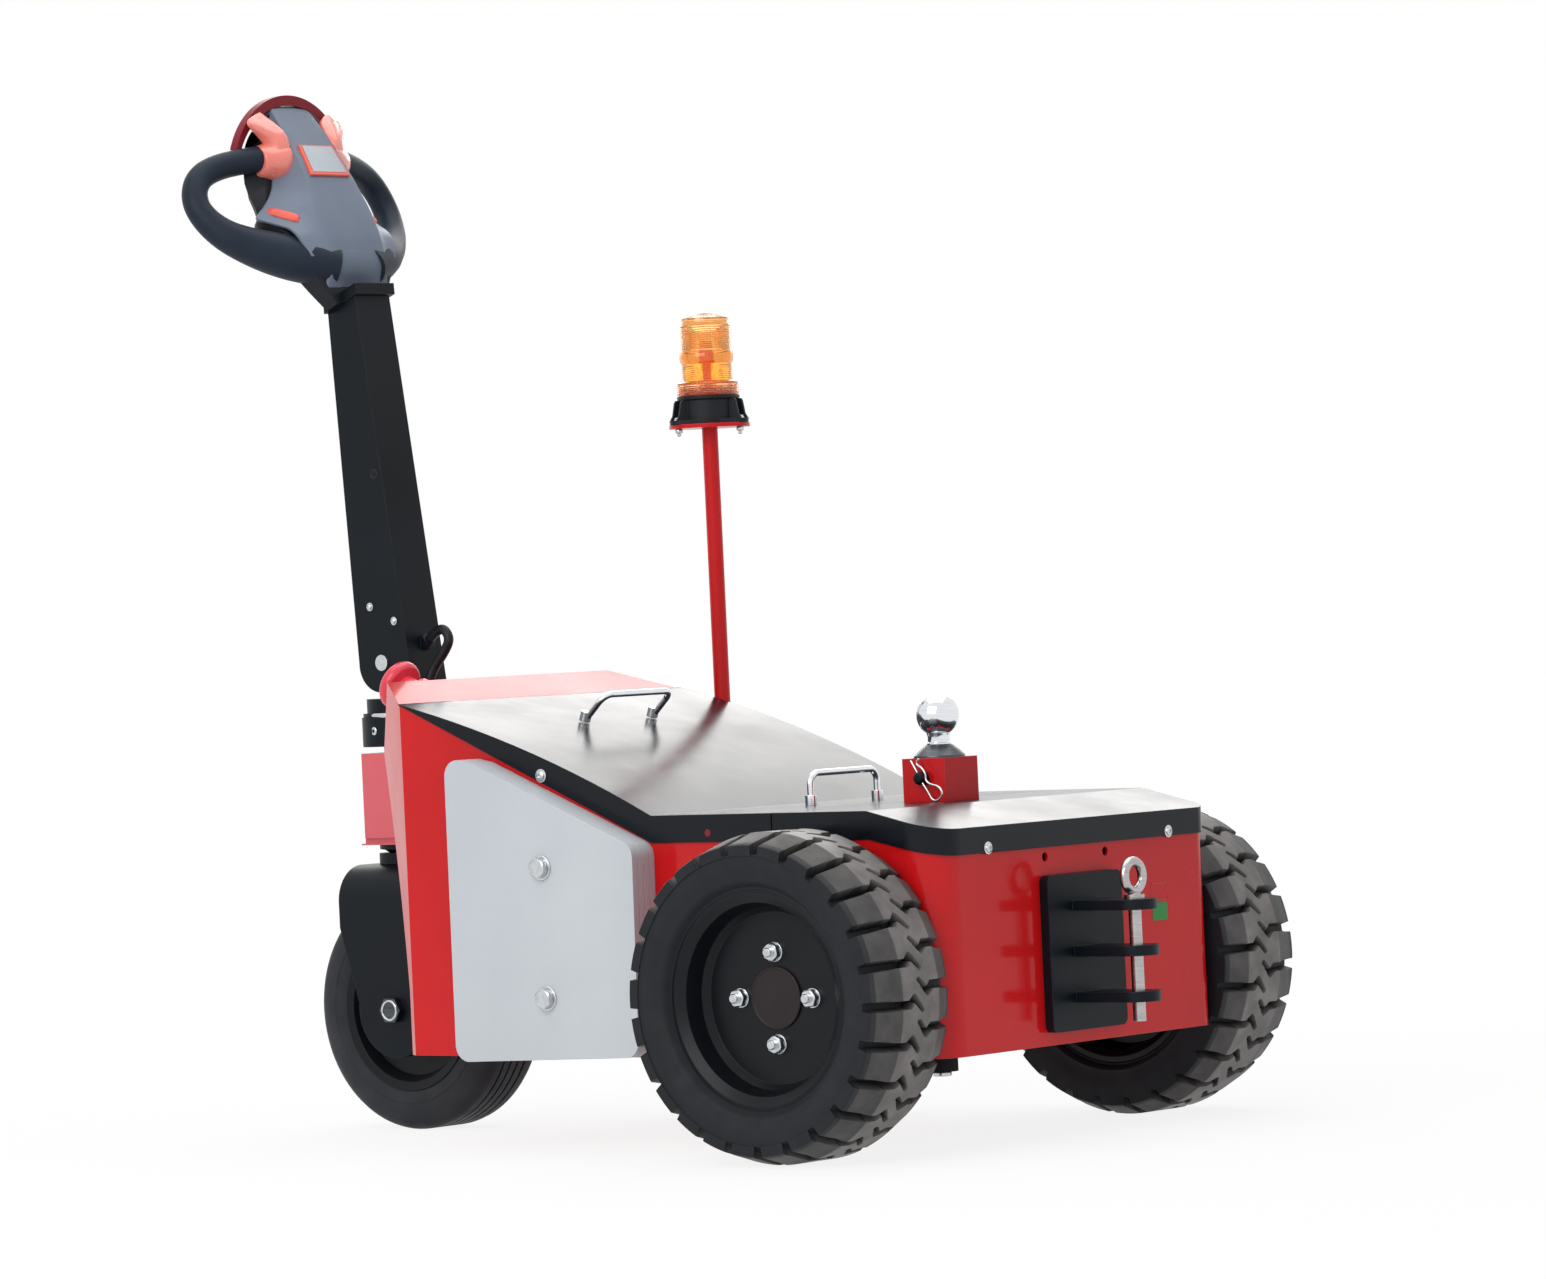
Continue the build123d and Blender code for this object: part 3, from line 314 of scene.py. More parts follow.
def painted_glow(name, colour, dark, strength):
    """Coloured plastic seen through the lens, with a painted glow that makes up for the light the lens shades
    off.
    """
    s = Surface(name, Emission_Strength=strength, Emission_Color=colour, Specular_IOR_Level=0.3)
    s.set("Base Color", s.ramp(s.noise(70), (0.3, dark), (0.7, colour)))
    s.set("Roughness", s.span(s.noise(50), 0.3, 0.7, 0.34, 0.46))
    s.relief(s.noise(300, 2), 0.00005, 0.5)
    return s


def screen():
    """Pale blank display under a clear cover."""
    s = Surface("display_glass", Coat_Weight=1.0, Coat_Roughness=0.05)
    s.set("Base Color", s.ramp(s.noise(18), (0.3, rgb(112, 126, 138)), (0.7, rgb(130, 144, 155))))
    s.set("Roughness", s.span(s.noise(40), 0.3, 0.7, 0.18, 0.26))
    s.relief(s.noise(120, 2), 0.00003, 0.4)
    return s


FINISH = {
    "body_red": body_red, "trim_red": trim_red, "lid_black": lid_black, "ballast_grey": ballast,
    "frame_black": frame_black, "rim_black": rim_black, "zinc": zinc, "chrome": chrome,
    "console_grey": console, "housing_black": housing, "grip_black": grip,
    "control_orange": control_orange, "belly_red": belly, "stop_red": stop_red,
    "amber": belly, "cast_iron": cast, "battery_case": battery, "cable_black": cable_sheath(),
    "tyre_rubber": swivel_rubber(),
}
for part in frame["record"]["subparts"]:
    FINISH[part["material_slot"]].on(nodes[part["node"]])
headstock_red_painted_reflection.on(nodes["headstock"])
dark_steel.on(nodes["swivel_axle"])
pin_zinc_painted_shade.on(nodes["hitch_pin"])
drive_rubber = lug_rubber()
# the lamp column, reflectors and tray glow a little: painted light for what the lens keeps off
lamp_glass = painted_glow("lamp_glass", rgb(214, 110, 66), rgb(190, 86, 50), 0.35)
reflector = painted_glow("reflector", rgb(255, 232, 150), rgb(250, 214, 110), 0.85)
tray = painted_glow("lamp_tray", rgb(176, 96, 84), rgb(150, 74, 64), 0.25)
label_green = painted("label_green", rgb(58, 142, 72), rgb(50, 130, 64), 0.4)
label_rim = painted("label_border", rgb(206, 92, 84), rgb(196, 80, 74), 0.4)
hub_paint = painted("hub_paint", rgb(40, 33, 34), rgb(30, 26, 28), 0.36, spec=0.2)
screen_glass = screen()


# ---------------------------------------------------------------- control cable
CABLE_ROUTE = (
    (-833, 2, 612), (-811, 0, 629), (-794, -2, 613), (-802, -4, 596), (-817, -9, 577),
    (-824, -14, 557), (-824, -14, 537),
)
CABLE_R = 0.0062


def spline_curve(name, points, radius):
    """Round tube on one smooth open spline."""
    curve = bpy.data.curves.new(name, "CURVE")
    curve.dimensions = "3D"
    spline = curve.splines.new("NURBS")
    spline.points.add(len(points) - 1)
    for knot, point in zip(spline.points, points):
        knot.co = (*point, 1)
    spline.order_u = 3
    spline.use_endpoint_u = True
    spline.resolution_u = 12
    curve.bevel_depth = radius
    curve.bevel_resolution = 4
    curve.use_fill_caps = True
    obj = bpy.data.objects.new(name, curve)
    bpy.context.scene.collection.objects.link(obj)
    return obj


cable = spline_curve("control_cable", [at(*point) for point in CABLE_ROUTE], CABLE_R)
FINISH["cable_black"].on(cable)
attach(cable, "tiller")
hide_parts("tiller_cable")


# ---------------------------------------------------------------- fine pieces
def piece(name, mesh, finish, body, smooth=True):
    """Links a finished bmesh as one piece that rides on a body."""
    bmesh.ops.remove_doubles(mesh, verts=mesh.verts, dist=1e-6)
    bmesh.ops.recalc_face_normals(mesh, faces=mesh.faces)
    data = bpy.data.meshes.new(name)
    mesh.to_mesh(data)
    mesh.free()
    obj = bpy.data.objects.new(name, data)
    bpy.context.scene.collection.objects.link(obj)
    if smooth:
        for face in data.polygons:
            face.use_smooth = True
        data.set_sharp_from_angle(angle=math.radians(32))
    finish.on(obj)
    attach(obj, body)
    return obj


def pose(origin, axis, twist=0.0):
    """Matrix that stands +Z along axis at origin."""
    turn = Vector(axis).normalized().to_track_quat("Z", "Y")
    return Matrix.Translation(origin) @ turn.to_matrix().to_4x4() @ Matrix.Rotation(twist, 4, "Z")


def polar(radius, degrees, height=0.0):
    """A point about Z, given in millimetres and degrees."""
    angle = math.radians(degrees)
    return Vector((radius * math.cos(angle), radius * math.sin(angle), height)) / 1000


def turned(mesh, matrix, profile, steps=40):
    """Adds a solid of revolution; profile is (radius, height) in millimetres, from axis to axis."""
    rings = []
    for radius, height in profile:
        count = steps if radius else 1
        rings.append([mesh.verts.new(matrix @ polar(radius, 360 * k / steps, height)) for k in range(count)])
    for low, high in zip(rings, rings[1:]):
        for k in range(steps):
            n = (k + 1) % steps
            if len(low) == 1:
                mesh.faces.new((low[0], high[k], high[n]))
            elif len(high) == 1:
                mesh.faces.new((low[k], low[n], high[0]))
            else:
                mesh.faces.new((low[k], low[n], high[n], high[k]))


def turned_ring(mesh, matrix, profile, steps):
    """Adds a ring: a closed profile of (radius, height) in millimetres turned about Z."""
    made = [[mesh.verts.new(matrix @ polar(radius, 360 * k / steps, height)) for radius, height in profile]
            for k in range(steps)]
    for k in range(steps):
        n = (k + 1) % steps
        for j in range(len(profile)):
            i = (j + 1) % len(profile)
            mesh.faces.new((made[k][j], made[n][j], made[n][i], made[k][i]))


def blend_rows(rows, count):
    """Rows of numbers resampled on a smooth Catmull-Rom line through them."""
    out = []
    last = len(rows) - 1
    for k in range(count + 1):
        t = k / count * last
        i = min(int(t), last - 1)
        f = t - i
        a, b, c, d = (rows[max(0, min(last, j))] for j in (i - 1, i, i + 1, i + 2))
        out.append([
            0.5 * (2 * q + (r - p) * f + (2 * p - 5 * q + 4 * r - s) * f ** 2
                   + (3 * q - p - 3 * r + s) * f ** 3)
            for p, q, r, s in zip(a, b, c, d)
        ])
    return out


def loft(mesh, rings):
    """Adds a closed solid through rings of equally many points."""
    made = [[mesh.verts.new(point) for point in ring] for ring in rings]
    for low, high in zip(made, made[1:]):
        for k in range(len(low)):
            n = (k + 1) % len(low)
            mesh.faces.new((low[k], low[n], high[n], high[k]))
    mesh.faces.new(made[0])
    mesh.faces.new(made[-1])


def slab(mesh, outline, lift):
    """Adds a prism: an outline of points carried along a vector."""
    loft(mesh, (outline, [point + lift for point in outline]))


def hexagon(mesh, matrix, radius, low, high):
    """Adds a bolt's hexagon with chamfered corners, in millimetres along the matrix's Z."""
    rings = []
    for size, height in ((0.9, low), (1.0, low + 0.8), (1.0, high - 1.4), (0.86, high)):
        rings.append([matrix @ polar(radius * size, 60 * k + twist, height)
                      for k in range(6) for twist in (-7, 7)])
    loft(mesh, rings)


# ---------------------------------------------------------------- drive tyres
TREAD_LUGS = 25                # lugs in each of the two staggered rows
LUG_STEPS = 32                 # steps round the tyre for each lug
GROOVE_FLOOR = 173.5           # radius at the bottom of the grooves


def lug_tyre():
    """Points, faces and dust-and-sheen share of one tyre; height is outwards from the rim's middle."""
    profile = [(-58, 128), (-62, 130), (-64.5, 134), (-64, 139), (-65.5, 147), (-66, 157), (-66, 168),
               (-66, 176)]
    for k in range(1, 82):
        z = -66 + 140 * k / 82
        r = WHEEL_R - max(0, z - 30) * 12.4 / 44 - max(0, -34 - z) * 12.4 / 32
        profile.append((z, r - 0.6 * max(0, (z - 70) / 4) ** 2))
    profile += [(74, 175.6), (74, 169), (74, 166), (74.0, 164.2), (72.6, 163.6), (72.6, 161), (72.4, 154),
                (70.4, 145), (67.6, 139), (67.2, 136.5), (66, 134), (62.5, 131), (58, 128), (58, 124.5),
                (0, 124.5), (-58, 124.5)]
    rows = (                   # side of the tread, turn in degrees, groove's line: height, arc, half-width
        (1, 11.9, ((84, 0, 6.4), (56, 0, 5.0), (18, 0, 4.2), (9.5, 7.6, 3.4), (-4, -6.6, 2.2))),
        (-1, 18.2, ((-88, 0, 6.4), (-60, 0, 5.0), (-22, 0, 4.2), (-13.5, -7.6, 3.4), (0, 6.6, 2.2))),
    )
    steps = TREAD_LUGS * LUG_STEPS
    pitch = math.tau * WHEEL_R / TREAD_LUGS

    def cut(z, angle):
        """1 in a groove, 0 on a block."""
        deep = 0.0
        for row, phase, path in rows:
            if (z + 2) * row < -8:
                continue
            arc = (math.radians(angle - phase) * WHEEL_R + pitch / 2) % pitch - pitch / 2
            for (z0, a0, w0), (z1, a1, w1) in zip(path, path[1:]):
                dz, da = z1 - z0, a1 - a0
                t = max(0.0, min(1.0, ((z - z0) * dz + (arc - a0) * da) / (dz * dz + da * da)))
                gap = math.hypot(z - z0 - t * dz, arc - a0 - t * da) - (w0 + (w1 - w0) * t)
                deep = max(deep, 0.5 - gap / 1.3)
        return max(0.0, min(1.0, deep))

    points, dust_and_sheen = [], []
    for k in range(steps):
        angle = 360 * k / steps
        for z, r in profile:
            share = cut(z, angle) if r > 158 else 0.0
            floor = GROOVE_FLOOR - 0.2 * max(0, abs(z + 2) - 30)
            points.append(polar(r - share * max(0.0, r - floor), angle, z))
            # block tops take the dust and the painted sheen in full, shoulders less, grooves and walls none
            crown = 1.0 if -34 <= z <= 30 else 0.42 if -60 < z < 66 else 0.12
            dust_and_sheen.append(crown * (1 - share) if r > 176 else 0.0)
    size = len(profile)
    faces = []
    for k in range(steps):
        n = (k + 1) % steps
        for j in range(size):
            i = (j + 1) % size
            faces.append((k * size + j, n * size + j, n * size + i, k * size + i))
    return points, faces, dust_and_sheen


tyre_points, tyre_faces, tyre_dust_and_sheen = lug_tyre()
for side, hand in ((-1, "left"), (1, "right")):
    data = bpy.data.meshes.new(f"drive_tyre_tread_{hand}")
    middle = at(0, side * WHEEL_Y, WHEEL_R)
    data.from_pydata([middle + Vector((-side * x, side * z, y)) for x, y, z in tyre_points], [], tyre_faces)
    dust_and_sheen = data.attributes.new("dust_and_sheen", "FLOAT", "POINT")
    dust_and_sheen.data.foreach_set("value", tyre_dust_and_sheen)
    data.update()
    tyre = bpy.data.objects.new(data.name, data)
    bpy.context.scene.collection.objects.link(tyre)
    for face in data.polygons:
        face.use_smooth = True
    shape = bmesh.new()
    shape.from_mesh(data)
    bmesh.ops.recalc_face_normals(shape, faces=shape.faces)
    shape.to_mesh(data)
    shape.free()
    data.set_sharp_from_angle(angle=math.radians(34))
    drive_rubber.on(tyre)
    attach(tyre, f"drive_wheel_{hand}")
    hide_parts(f"drive_tyre_{hand}")

# swivel tyre: ribbed tread and a ringed sidewall
swivel_profile = [(103.2, -45), (110, -47), (118, -47.5), (119.5, -46.6), (121, -47.5), (131, -46.5),
                  (141, -43.8), (147.5, -40.0), (151, -34.5)]
for rib in range(5):
    low = -31 + rib * 12.9
    swivel_profile += [(152, low), (152, low + 9.4)]
    if rib < 4:
        swivel_profile += [(148.2, low + 10.2), (148.2, low + 12.1)]
swivel_profile += [(151, 34.5), (147.5, 40.0), (141, 43.8), (131, 46.5), (121, 47.5), (119.5, 46.6),
                   (118, 47.5), (110, 47), (103.2, 45)]
mesh = bmesh.new()
turned_ring(mesh, pose(at(SWIVEL_X, 0, SWIVEL_R), (0, 1, 0)), swivel_profile, 96)
tyre = piece("swivel_tyre_ribbed", mesh, FINISH["tyre_rubber"], "swivel_wheel")
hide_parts("swivel_tyre")

# ---------------------------------------------------------------- wheel fastenings
for side, hand in ((-1, "left"), (1, "right")):
    outward = (0, side, 0)
    mesh = bmesh.new()
    for angle in (0, 90, 180, 270):
        x, z, _ = polar(52.5, angle) * 1000
        stand = pose(at(x, side * HUB_Y, WHEEL_R + z), outward, math.radians(11 * angle + 8))
        turned(mesh, stand, ((0, -0.4), (11.6, -0.4), (11.6, 1.6), (11, 2.2), (0, 2.2)), 32)
        hexagon(mesh, stand, 10.6, 2.0, 11)
        turned(mesh, stand, ((0, 2), (5.6, 2), (5.6, 15.4), (4.6, 16.6), (0, 16.6)), 20)
    piece(f"wheel_nuts_{hand}", mesh, zinc, f"drive_wheel_{hand}")
    mesh = bmesh.new()
    stand = pose(at(0, side * HUB_Y, WHEEL_R), outward)
    turned(mesh, stand, ((0, -0.4), (36, -0.4), (36, 2.6), (35, 3.4), (33.4, 3.4), (32.6, 2.6),
                         (10, 2.6), (8, 3.0), (0, 3.0)), 64)
    piece(f"hub_cap_{hand}", mesh, hub_paint, f"drive_wheel_{hand}")

# ---------------------------------------------------------------- body fastenings
mesh = bmesh.new()
for side in (-1, 1):
    for height, twist in ((338, 38), (184, 34)):
        stand = pose(at(BALLAST_BOLT_X, side * BALLAST_Y, height), (0, side, 0), math.radians(twist))
        turned(mesh, stand, ((0, -0.4), (15, -0.4), (15, 1.8), (14.2, 2.6), (0, 2.6)), 36)
        hexagon(mesh, stand, 12.2, 2.4, 10.6)
piece("ballast_bolts", mesh, zinc, "chassis")


def dome_screw(mesh, place, axis, radius):
    """Adds a low round-headed screw on its washer."""
    stand = pose(place, axis)
    turned(mesh, stand, (
        (0, -0.4), (radius * 1.35, -0.4), (radius * 1.35, 0.8), (radius, 1.0), (radius * 0.92, 2.4),
        (radius * 0.6, 3.6), (radius * 0.42, 3.8), (radius * 0.4, 2.0), (0, 2.0)), 24)


mesh = bmesh.new()
for side in (-1, 1):
    dome_screw(mesh, at(-421.5, side * LID_Y, 445), (0, side, 0), 6.0)
piece("front_cover_screws", mesh, zinc, "front_lid")
mesh = bmesh.new()
for y in (-168, 180):
    dome_screw(mesh, at(LID_END_X, y, 346), (1, 0, 0), 5.4)
piece("rear_cover_screws", mesh, zinc, "chassis")
# thin dark red discs stand in for holes in the flange: painted shade of their insides
mesh = bmesh.new()
for side in (-1, 1):
    turned(mesh, pose(at(-168, side * LID_Y, 373.5), (0, side, 0)),
           ((0, -0.3), (4.4, -0.3), (4.4, 0.25), (3.8, 0.35), (0, 0.1)), 24)
piece("flange_holes", mesh, belly, "chassis")

# ---------------------------------------------------------------- tow ball and its pin
stand = Matrix.Translation(at(BALL_X, 0, 0))
BALL_R, BALL_Z = 25.4, 496
arc = [(BALL_R * math.cos(math.radians(a)), BALL_Z + BALL_R * math.sin(math.radians(a)))
       for a in range(-56, 74, 3)]
mesh = bmesh.new()
turned(mesh, stand, [
    (0, 440), (12.6, 440), (12.6, 461), (14.2, 461.4), (14.2, 463), (13.0, 464), (13.0, 470.5), (13.6, 472.5),
    (14.2, arc[0][1])] + arc + [(7.0, 520.6), (6.4, 521), (0, 521.2)], 64)
ball = piece("tow_ball_turned", mesh, chrome, "chassis")
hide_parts("tow_ball")
mesh = bmesh.new()
turned(mesh, stand, (
    (0, 441), (30, 441), (30.5, 446), (30, 448.5), (25, 453.5), (19, 458.5), (15.5, 461.2), (0, 461.2)), 56)
piece("ball_nut_cone", mesh, dark_steel, "chassis")
mesh = bmesh.new()
turned(mesh, pose(at(BALL_X, 37.4, 423), (0, -1, 0)), (
    (0, -0.1), (12, 0), (12, 5), (11, 6), (8, 6), (8, 76.6), (7.4, 79.6), (5.2, 81.8), (0, 82.8)), 36)
pin = piece("ball_pin_turned", mesh, frame_black, "chassis")
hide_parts("ball_mount_pin")
CLIP = ((-41, 444), (-35, 435), (-30, 427), (-24, 416), (-18, 408.6), (-12, 400.8), (-8, 396.6), (-1, 397),
        (5, 402), (4.6, 409), (-1, 413.6), (-8, 415), (-14.5, 417), (-18.6, 421.5), (-18, 428), (-23, 435),
        (-30, 438.5), (-31, 442), (-27.5, 446))
clip = spline_curve("r_clip", [at(x, -40.6 if k < 5 else -42.5, z) for k, (x, z) in enumerate(CLIP)], 0.0013)
zinc.on(clip)
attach(clip, "chassis")


# ---------------------------------------------------------------- control head
def head(y, u, n):
    """A point in the head's own plane: across, up the head, out of its face, in millimetres."""
    return at(-922 - 0.41469 * u + 0.90996 * n, y, 1046 + 0.90996 * u + 0.41469 * n)


CONSOLE_TONGUE = (             # u, half-width of the face, its n, half-width of the seam, its n
    (13, 52, 2, 56, -5), (20, 54, 7, 57, -5), (32, 47, 18, 51, -6), (42, 45, 22.5, 47, -8),
    (52, 45, 24, 47, -8),
)
CONSOLE_BODY = (
    (50, 50, 23.5, 77, 15.5), (58, 51, 24.2, 80, 16), (70, 52, 25, 84, 15.5), (82, 53, 25, 87, 14),
    (94, 53, 25, 89, 8), (104, 53, 25, 95, -2), (114, 52, 25, 102, -12), (123, 51, 25, 107.5, -20),
    (132, 49, 25, 98, -20), (142, 47, 25, 85, -18), (154, 45, 25, 73, -15), (168, 43, 24, 63, -13),
    (184, 42, 22.5, 57, -12), (205, 41, 19, 54, -12), (228, 39, 14.5, 51, -12), (250, 37, 9, 46, -12),
    (266, 34, 5, 41, -12), (274, 29, 1, 36, -12),
)


def console_ring(u, face, high, seam, low):
    """One closed ring across the console."""
    bend_y, bend_n = face + 0.3 * (seam - face), low + 0.42 * (high - low)
    half = [(seam - 6, low - 7), (seam, low - 3)]
    for k in range(9):
        t = k / 8
        half.append((
            (1 - t) ** 2 * seam + 2 * t * (1 - t) * bend_y + t * t * face,
            (1 - t) ** 2 * low + 2 * t * (1 - t) * bend_n + t * t * high,
        ))
    half += [(face - 2.5, high + 0.7), (face * 0.66, high + 1.2), (face * 0.33, high + 1.5)]
    ring = [head(-y, u, n) for y, n in half] + [head(0, u, high + 1.6)]
    return ring + [head(y, u, n) for y, n in reversed(half)]


def console_height(y, u):
    """n of the console's wing at a place."""
    row = min(blend_rows(CONSOLE_BODY, 120), key=lambda one: abs(one[0] - u))
    _, face, high, seam, low = row
    bend_y, bend_n = face + 0.3 * (seam - face), low + 0.42 * (high - low)
    best = min((abs((1 - t) ** 2 * seam + 2 * t * (1 - t) * bend_y + t * t * face - abs(y)), t)
               for t in (k / 60 for k in range(61)))[1]
    return (1 - best) ** 2 * low + 2 * best * (1 - best) * bend_n + best * best * high


mesh = bmesh.new()
loft(mesh, [console_ring(*row) for row in blend_rows(CONSOLE_TONGUE, 14)])
loft(mesh, [console_ring(*row) for row in blend_rows(CONSOLE_BODY, 80)])
shell = piece("console_shell", mesh, console, "tiller")
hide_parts("head_console")

HOUSING = (                    # u, then half-width and n: in front, at the side's break, at the back
    (-8, 44, -2, 44, -22, 24, -34), (24, 66, 2, 64, -24, 28, -44), (48, 80, 6, 78, -24, 50, -46),
    (84, 90, 4, 92, -26, 76, -46), (104, 95, -8, 97, -28, 88, -46), (122, 98, -26, 98, -32, 92, -46),
    (136, 84, -26, 88, -34, 82, -46), (160, 74, -20, 86, -36, 82, -46), (190, 68, -16, 89, -36, 86, -46),
    (222, 62, -14, 88, -36, 84, -46), (250, 52, -14, 74, -34, 70, -46), (272, 34, -14, 44, -30, 40, -44),
)
mesh = bmesh.new()
rings = []
for u, front, high, middle, mid_n, back, low in blend_rows(HOUSING, 70):
    half = [(back - 4, low), (back, low + 3), (middle, mid_n), (front, high), (front - 5, high + 1.5)]
    ring = [head(-y, u, n) for y, n in half] + [head(y, u, n) for y, n in reversed(half)]
    for point in ring:
        point.x = max(point.x, AX + HEAD_END_X / 1000)
    rings.append(ring)
loft(mesh, rings)
shell = piece("housing_shell", mesh, housing, "tiller")
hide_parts("head_housing")

LOOP = (                       # outwards in the loop's swept-back plane, u, radius
    (30, 41, 26), (62, 55, 29.5), (98, 70, 28.5), (131, 87, 24.5), (160, 107, 20.5), (178, 130, 17.8),
    (186, 154, 16.6), (180, 178, 16.5), (163, 195, 16.5), (136, 203, 16.5), (100, 205, 16.5), (68, 204, 16.5),
    (38, 204, 16.5),
)
LOOP_SWEEP = math.radians(19.8)
LOOP_N = 13.2                  # n where the loops' plane meets the middle plane
for side, hand in ((-1, "left"), (1, "right")):
    path = [head(side * math.cos(LOOP_SWEEP) * a, b, LOOP_N - math.sin(LOOP_SWEEP) * a) for a, b, _ in LOOP]
    tube = spline_curve(f"hand_loop_{hand}", path, 0.001)
    tube.data.bevel_resolution = 8
    for knot, (_, _, radius) in zip(tube.data.splines[0].points, LOOP):
        knot.radius = radius
    grip.on(tube)
    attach(tube, "tiller")
    if side < 0:
        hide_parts("hand_loops")

# throttles: a flared collar round each grip and a duck-billed paddle
PADDLE = (                     # u, y of the inner and outer edge, n behind and in front
    (186, 40, 60, -16, 4), (198, 36, 62, -14, 14), (210, 36, 63, -11, 19), (222, 38, 67, -7, 20),
    (232, 40, 76, -4, 18), (241, 43, 84, -2, 15), (248, 47, 88, 0, 12), (254, 54, 84, 1, 10),
    (258, 60, 76, 3, 8),
)
mesh = bmesh.new()
for side in (-1, 1):
    rings = []
    for u, near, wide, back, front in blend_rows(PADDLE, 28):
        middle, half = (near + wide) / 2, (wide - near) / 2
        centre_n, deep = (front + back) / 2, (front - back) / 2
        ring = []
        for k in range(24):
            c, s = math.cos(math.tau * k / 24), math.sin(math.tau * k / 24)
            y = middle + half * math.copysign(abs(c) ** 0.8, c)
            ridge = 2.5 * math.exp(-((y - near - 0.3 * (wide - near)) / 6) ** 2) if s > 0 else 0
            n = centre_n + deep * math.copysign(abs(s) ** 0.7, s) + ridge
            ring.append(head(side * y, u - 3 * c, n))
        rings.append(ring)
    loft(mesh, rings)
    base, end = head(side * 36, 200, -8), head(side * 76, 201, -13)
    turned(mesh, pose(base, end - base), (
        (0, 0), (26, 0), (27.6, 4), (27.8, 9), (27, 15), (24.6, 24), (21.6, 33), (19.4, 38), (17.6, 40),
        (0, 40)), 48)
levers = piece("throttle_paddles", mesh, throttle_plastic, "tiller")
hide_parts("throttles")

# display: raised frame round a pale screen
mesh = bmesh.new()
outer = [head(y, u, n) for y, u, n in ((-31, 206.5, 21), (31, 206.5, 21), (35.5, 160, 27), (-35.5, 160, 27))]
lift = head(0, 0, 2.6) - head(0, 0, 0)
inner = [head(y, u, n) for y, u, n in ((-30, 205.5, 21), (30, 205.5, 21), (34.3, 161, 27), (-34.3, 161, 27))]
loft(mesh, ([p - 2 * lift for p in outer], [p + 0.7 * lift for p in outer], [p + lift for p in inner]))
frame_piece = piece("display_frame", mesh, control_orange, "tiller", smooth=False)
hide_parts("head_display")
mesh = bmesh.new()
glass = [head(y, u, n) for y, u, n in (
    (-26.5, 204.5, 21.2), (27, 204.5, 21.2), (31, 164.5, 26.5), (-30, 164.5, 26.5))]
slab(mesh, [p + 0.6 * lift for p in glass], 0.6 * lift)
piece("display_screen", mesh, screen_glass, "tiller", smooth=False)

# rocker switches on the wings
mesh = bmesh.new()
for side in (-1, 1):
    rings = []
    for k in range(13):
        t = k / 12
        y, u = 90 - 21 * t, 131 - 26 * t
        high = 4.6 * min(1, 6 * t, 6 * (1 - t)) ** 0.5
        ring = []
        for j in range(12):
            c, s = math.cos(math.tau * j / 12), math.sin(math.tau * j / 12)
            across = 6.4 * c * (0.75 + 0.25 * min(1, 5 * t, 5 * (1 - t)))
            yy, uu = y + across * 0.58, u - across * 0.81
            ring.append(head(side * yy, uu, console_height(yy, uu) + 0.5 + (high if s > 0 else -4) * abs(s)))
        rings.append(ring)
    loft(mesh, rings)
piece("wing_switches", mesh, control_orange, "tiller")

# ---------------------------------------------------------------- beacon
pole_place = at(POLE_X, POLE_Y, 0)
BARREL = [(38.0, 902.2), (39.2, 905)]
for k in range(5):
    BARREL += [(39.4, 906 + 2.4 * k), (38.7, 907.2 + 2.4 * k)]
BARREL += [(38.8, 918.4), (36, 920.4), (32.2, 921.2)]
for k in range(8):
    BARREL += [(32.0, 922 + 2.6 * k), (31.4, 923.3 + 2.6 * k)]
BARREL += [(31.8, 943), (33.4, 945.4), (34.0, 949), (34.0, 954), (33.2, 957.6), (31.6, 959.4)]
for k in range(12):
    BARREL += [(31.9, 960.4 + 2.7 * k), (31.2, 961.8 + 2.7 * k)]
BARREL += [(30.8, 993.4), (29.4, 995.2), (29.2, 999.6)]
DOME = [(28.9, 1000.4), (26.4, 1002.6), (21.5, 1005), (15, 1007), (8, 1008.4), (3, 1008.8), (0, 1008.9)]


def thin_wall(profile, wall):
    """An outer profile followed back down by its inner face, both in millimetres."""
    return profile + [(max(0.0, radius - wall), height - wall * 0.4) for radius, height in reversed(profile)]


stand = Matrix.Translation(pole_place)
mesh = bmesh.new()
turned_ring(mesh, stand, thin_wall(BARREL, 2.2), 72)
lens = piece("beacon_barrel", mesh, amber_lens(), "chassis")
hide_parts("beacon_lens")
mesh = bmesh.new()
turned(mesh, stand, [(0, 998.2), (28.9, 998.2)] + DOME, 72)
piece("beacon_dome", mesh, clear_dome(), "chassis")

REFLECTOR_TURNS = (39.4, 99.4, 159.4)
LOBE_TURNS = (9.4, 129.4, 249.4)

# what stands inside the lens: lamp column, its reflectors and the circuit tray
mesh = bmesh.new()
turned(mesh, stand, (
    (0, 902.6), (12.4, 902.6), (12.4, 941), (10.4, 945), (9.2, 947), (9.2, 968), (8, 970), (0, 970)), 32)
piece("beacon_lamp", mesh, lamp_glass, "chassis")
mesh = bmesh.new()
for turn in REFLECTOR_TURNS:
    flat = stand @ Matrix.Rotation(math.radians(turn), 4, "Z")
    for side in (-1, 1):
        outline = [flat @ Vector((side * x / 1000, -0.0008, z / 1000))
                   for x, z in ((11.6, 920), (27.6, 920), (28, 940), (24, 943), (12, 941))]
        slab(mesh, outline, flat.to_3x3() @ Vector((0, 0.0016, 0)))
piece("beacon_reflectors", mesh, reflector, "chassis")
mesh = bmesh.new()
turned(mesh, stand, ((0, 902.3), (35, 902.3), (35, 914), (33, 916), (0, 916)), 48)
piece("beacon_tray", mesh, tray, "chassis")

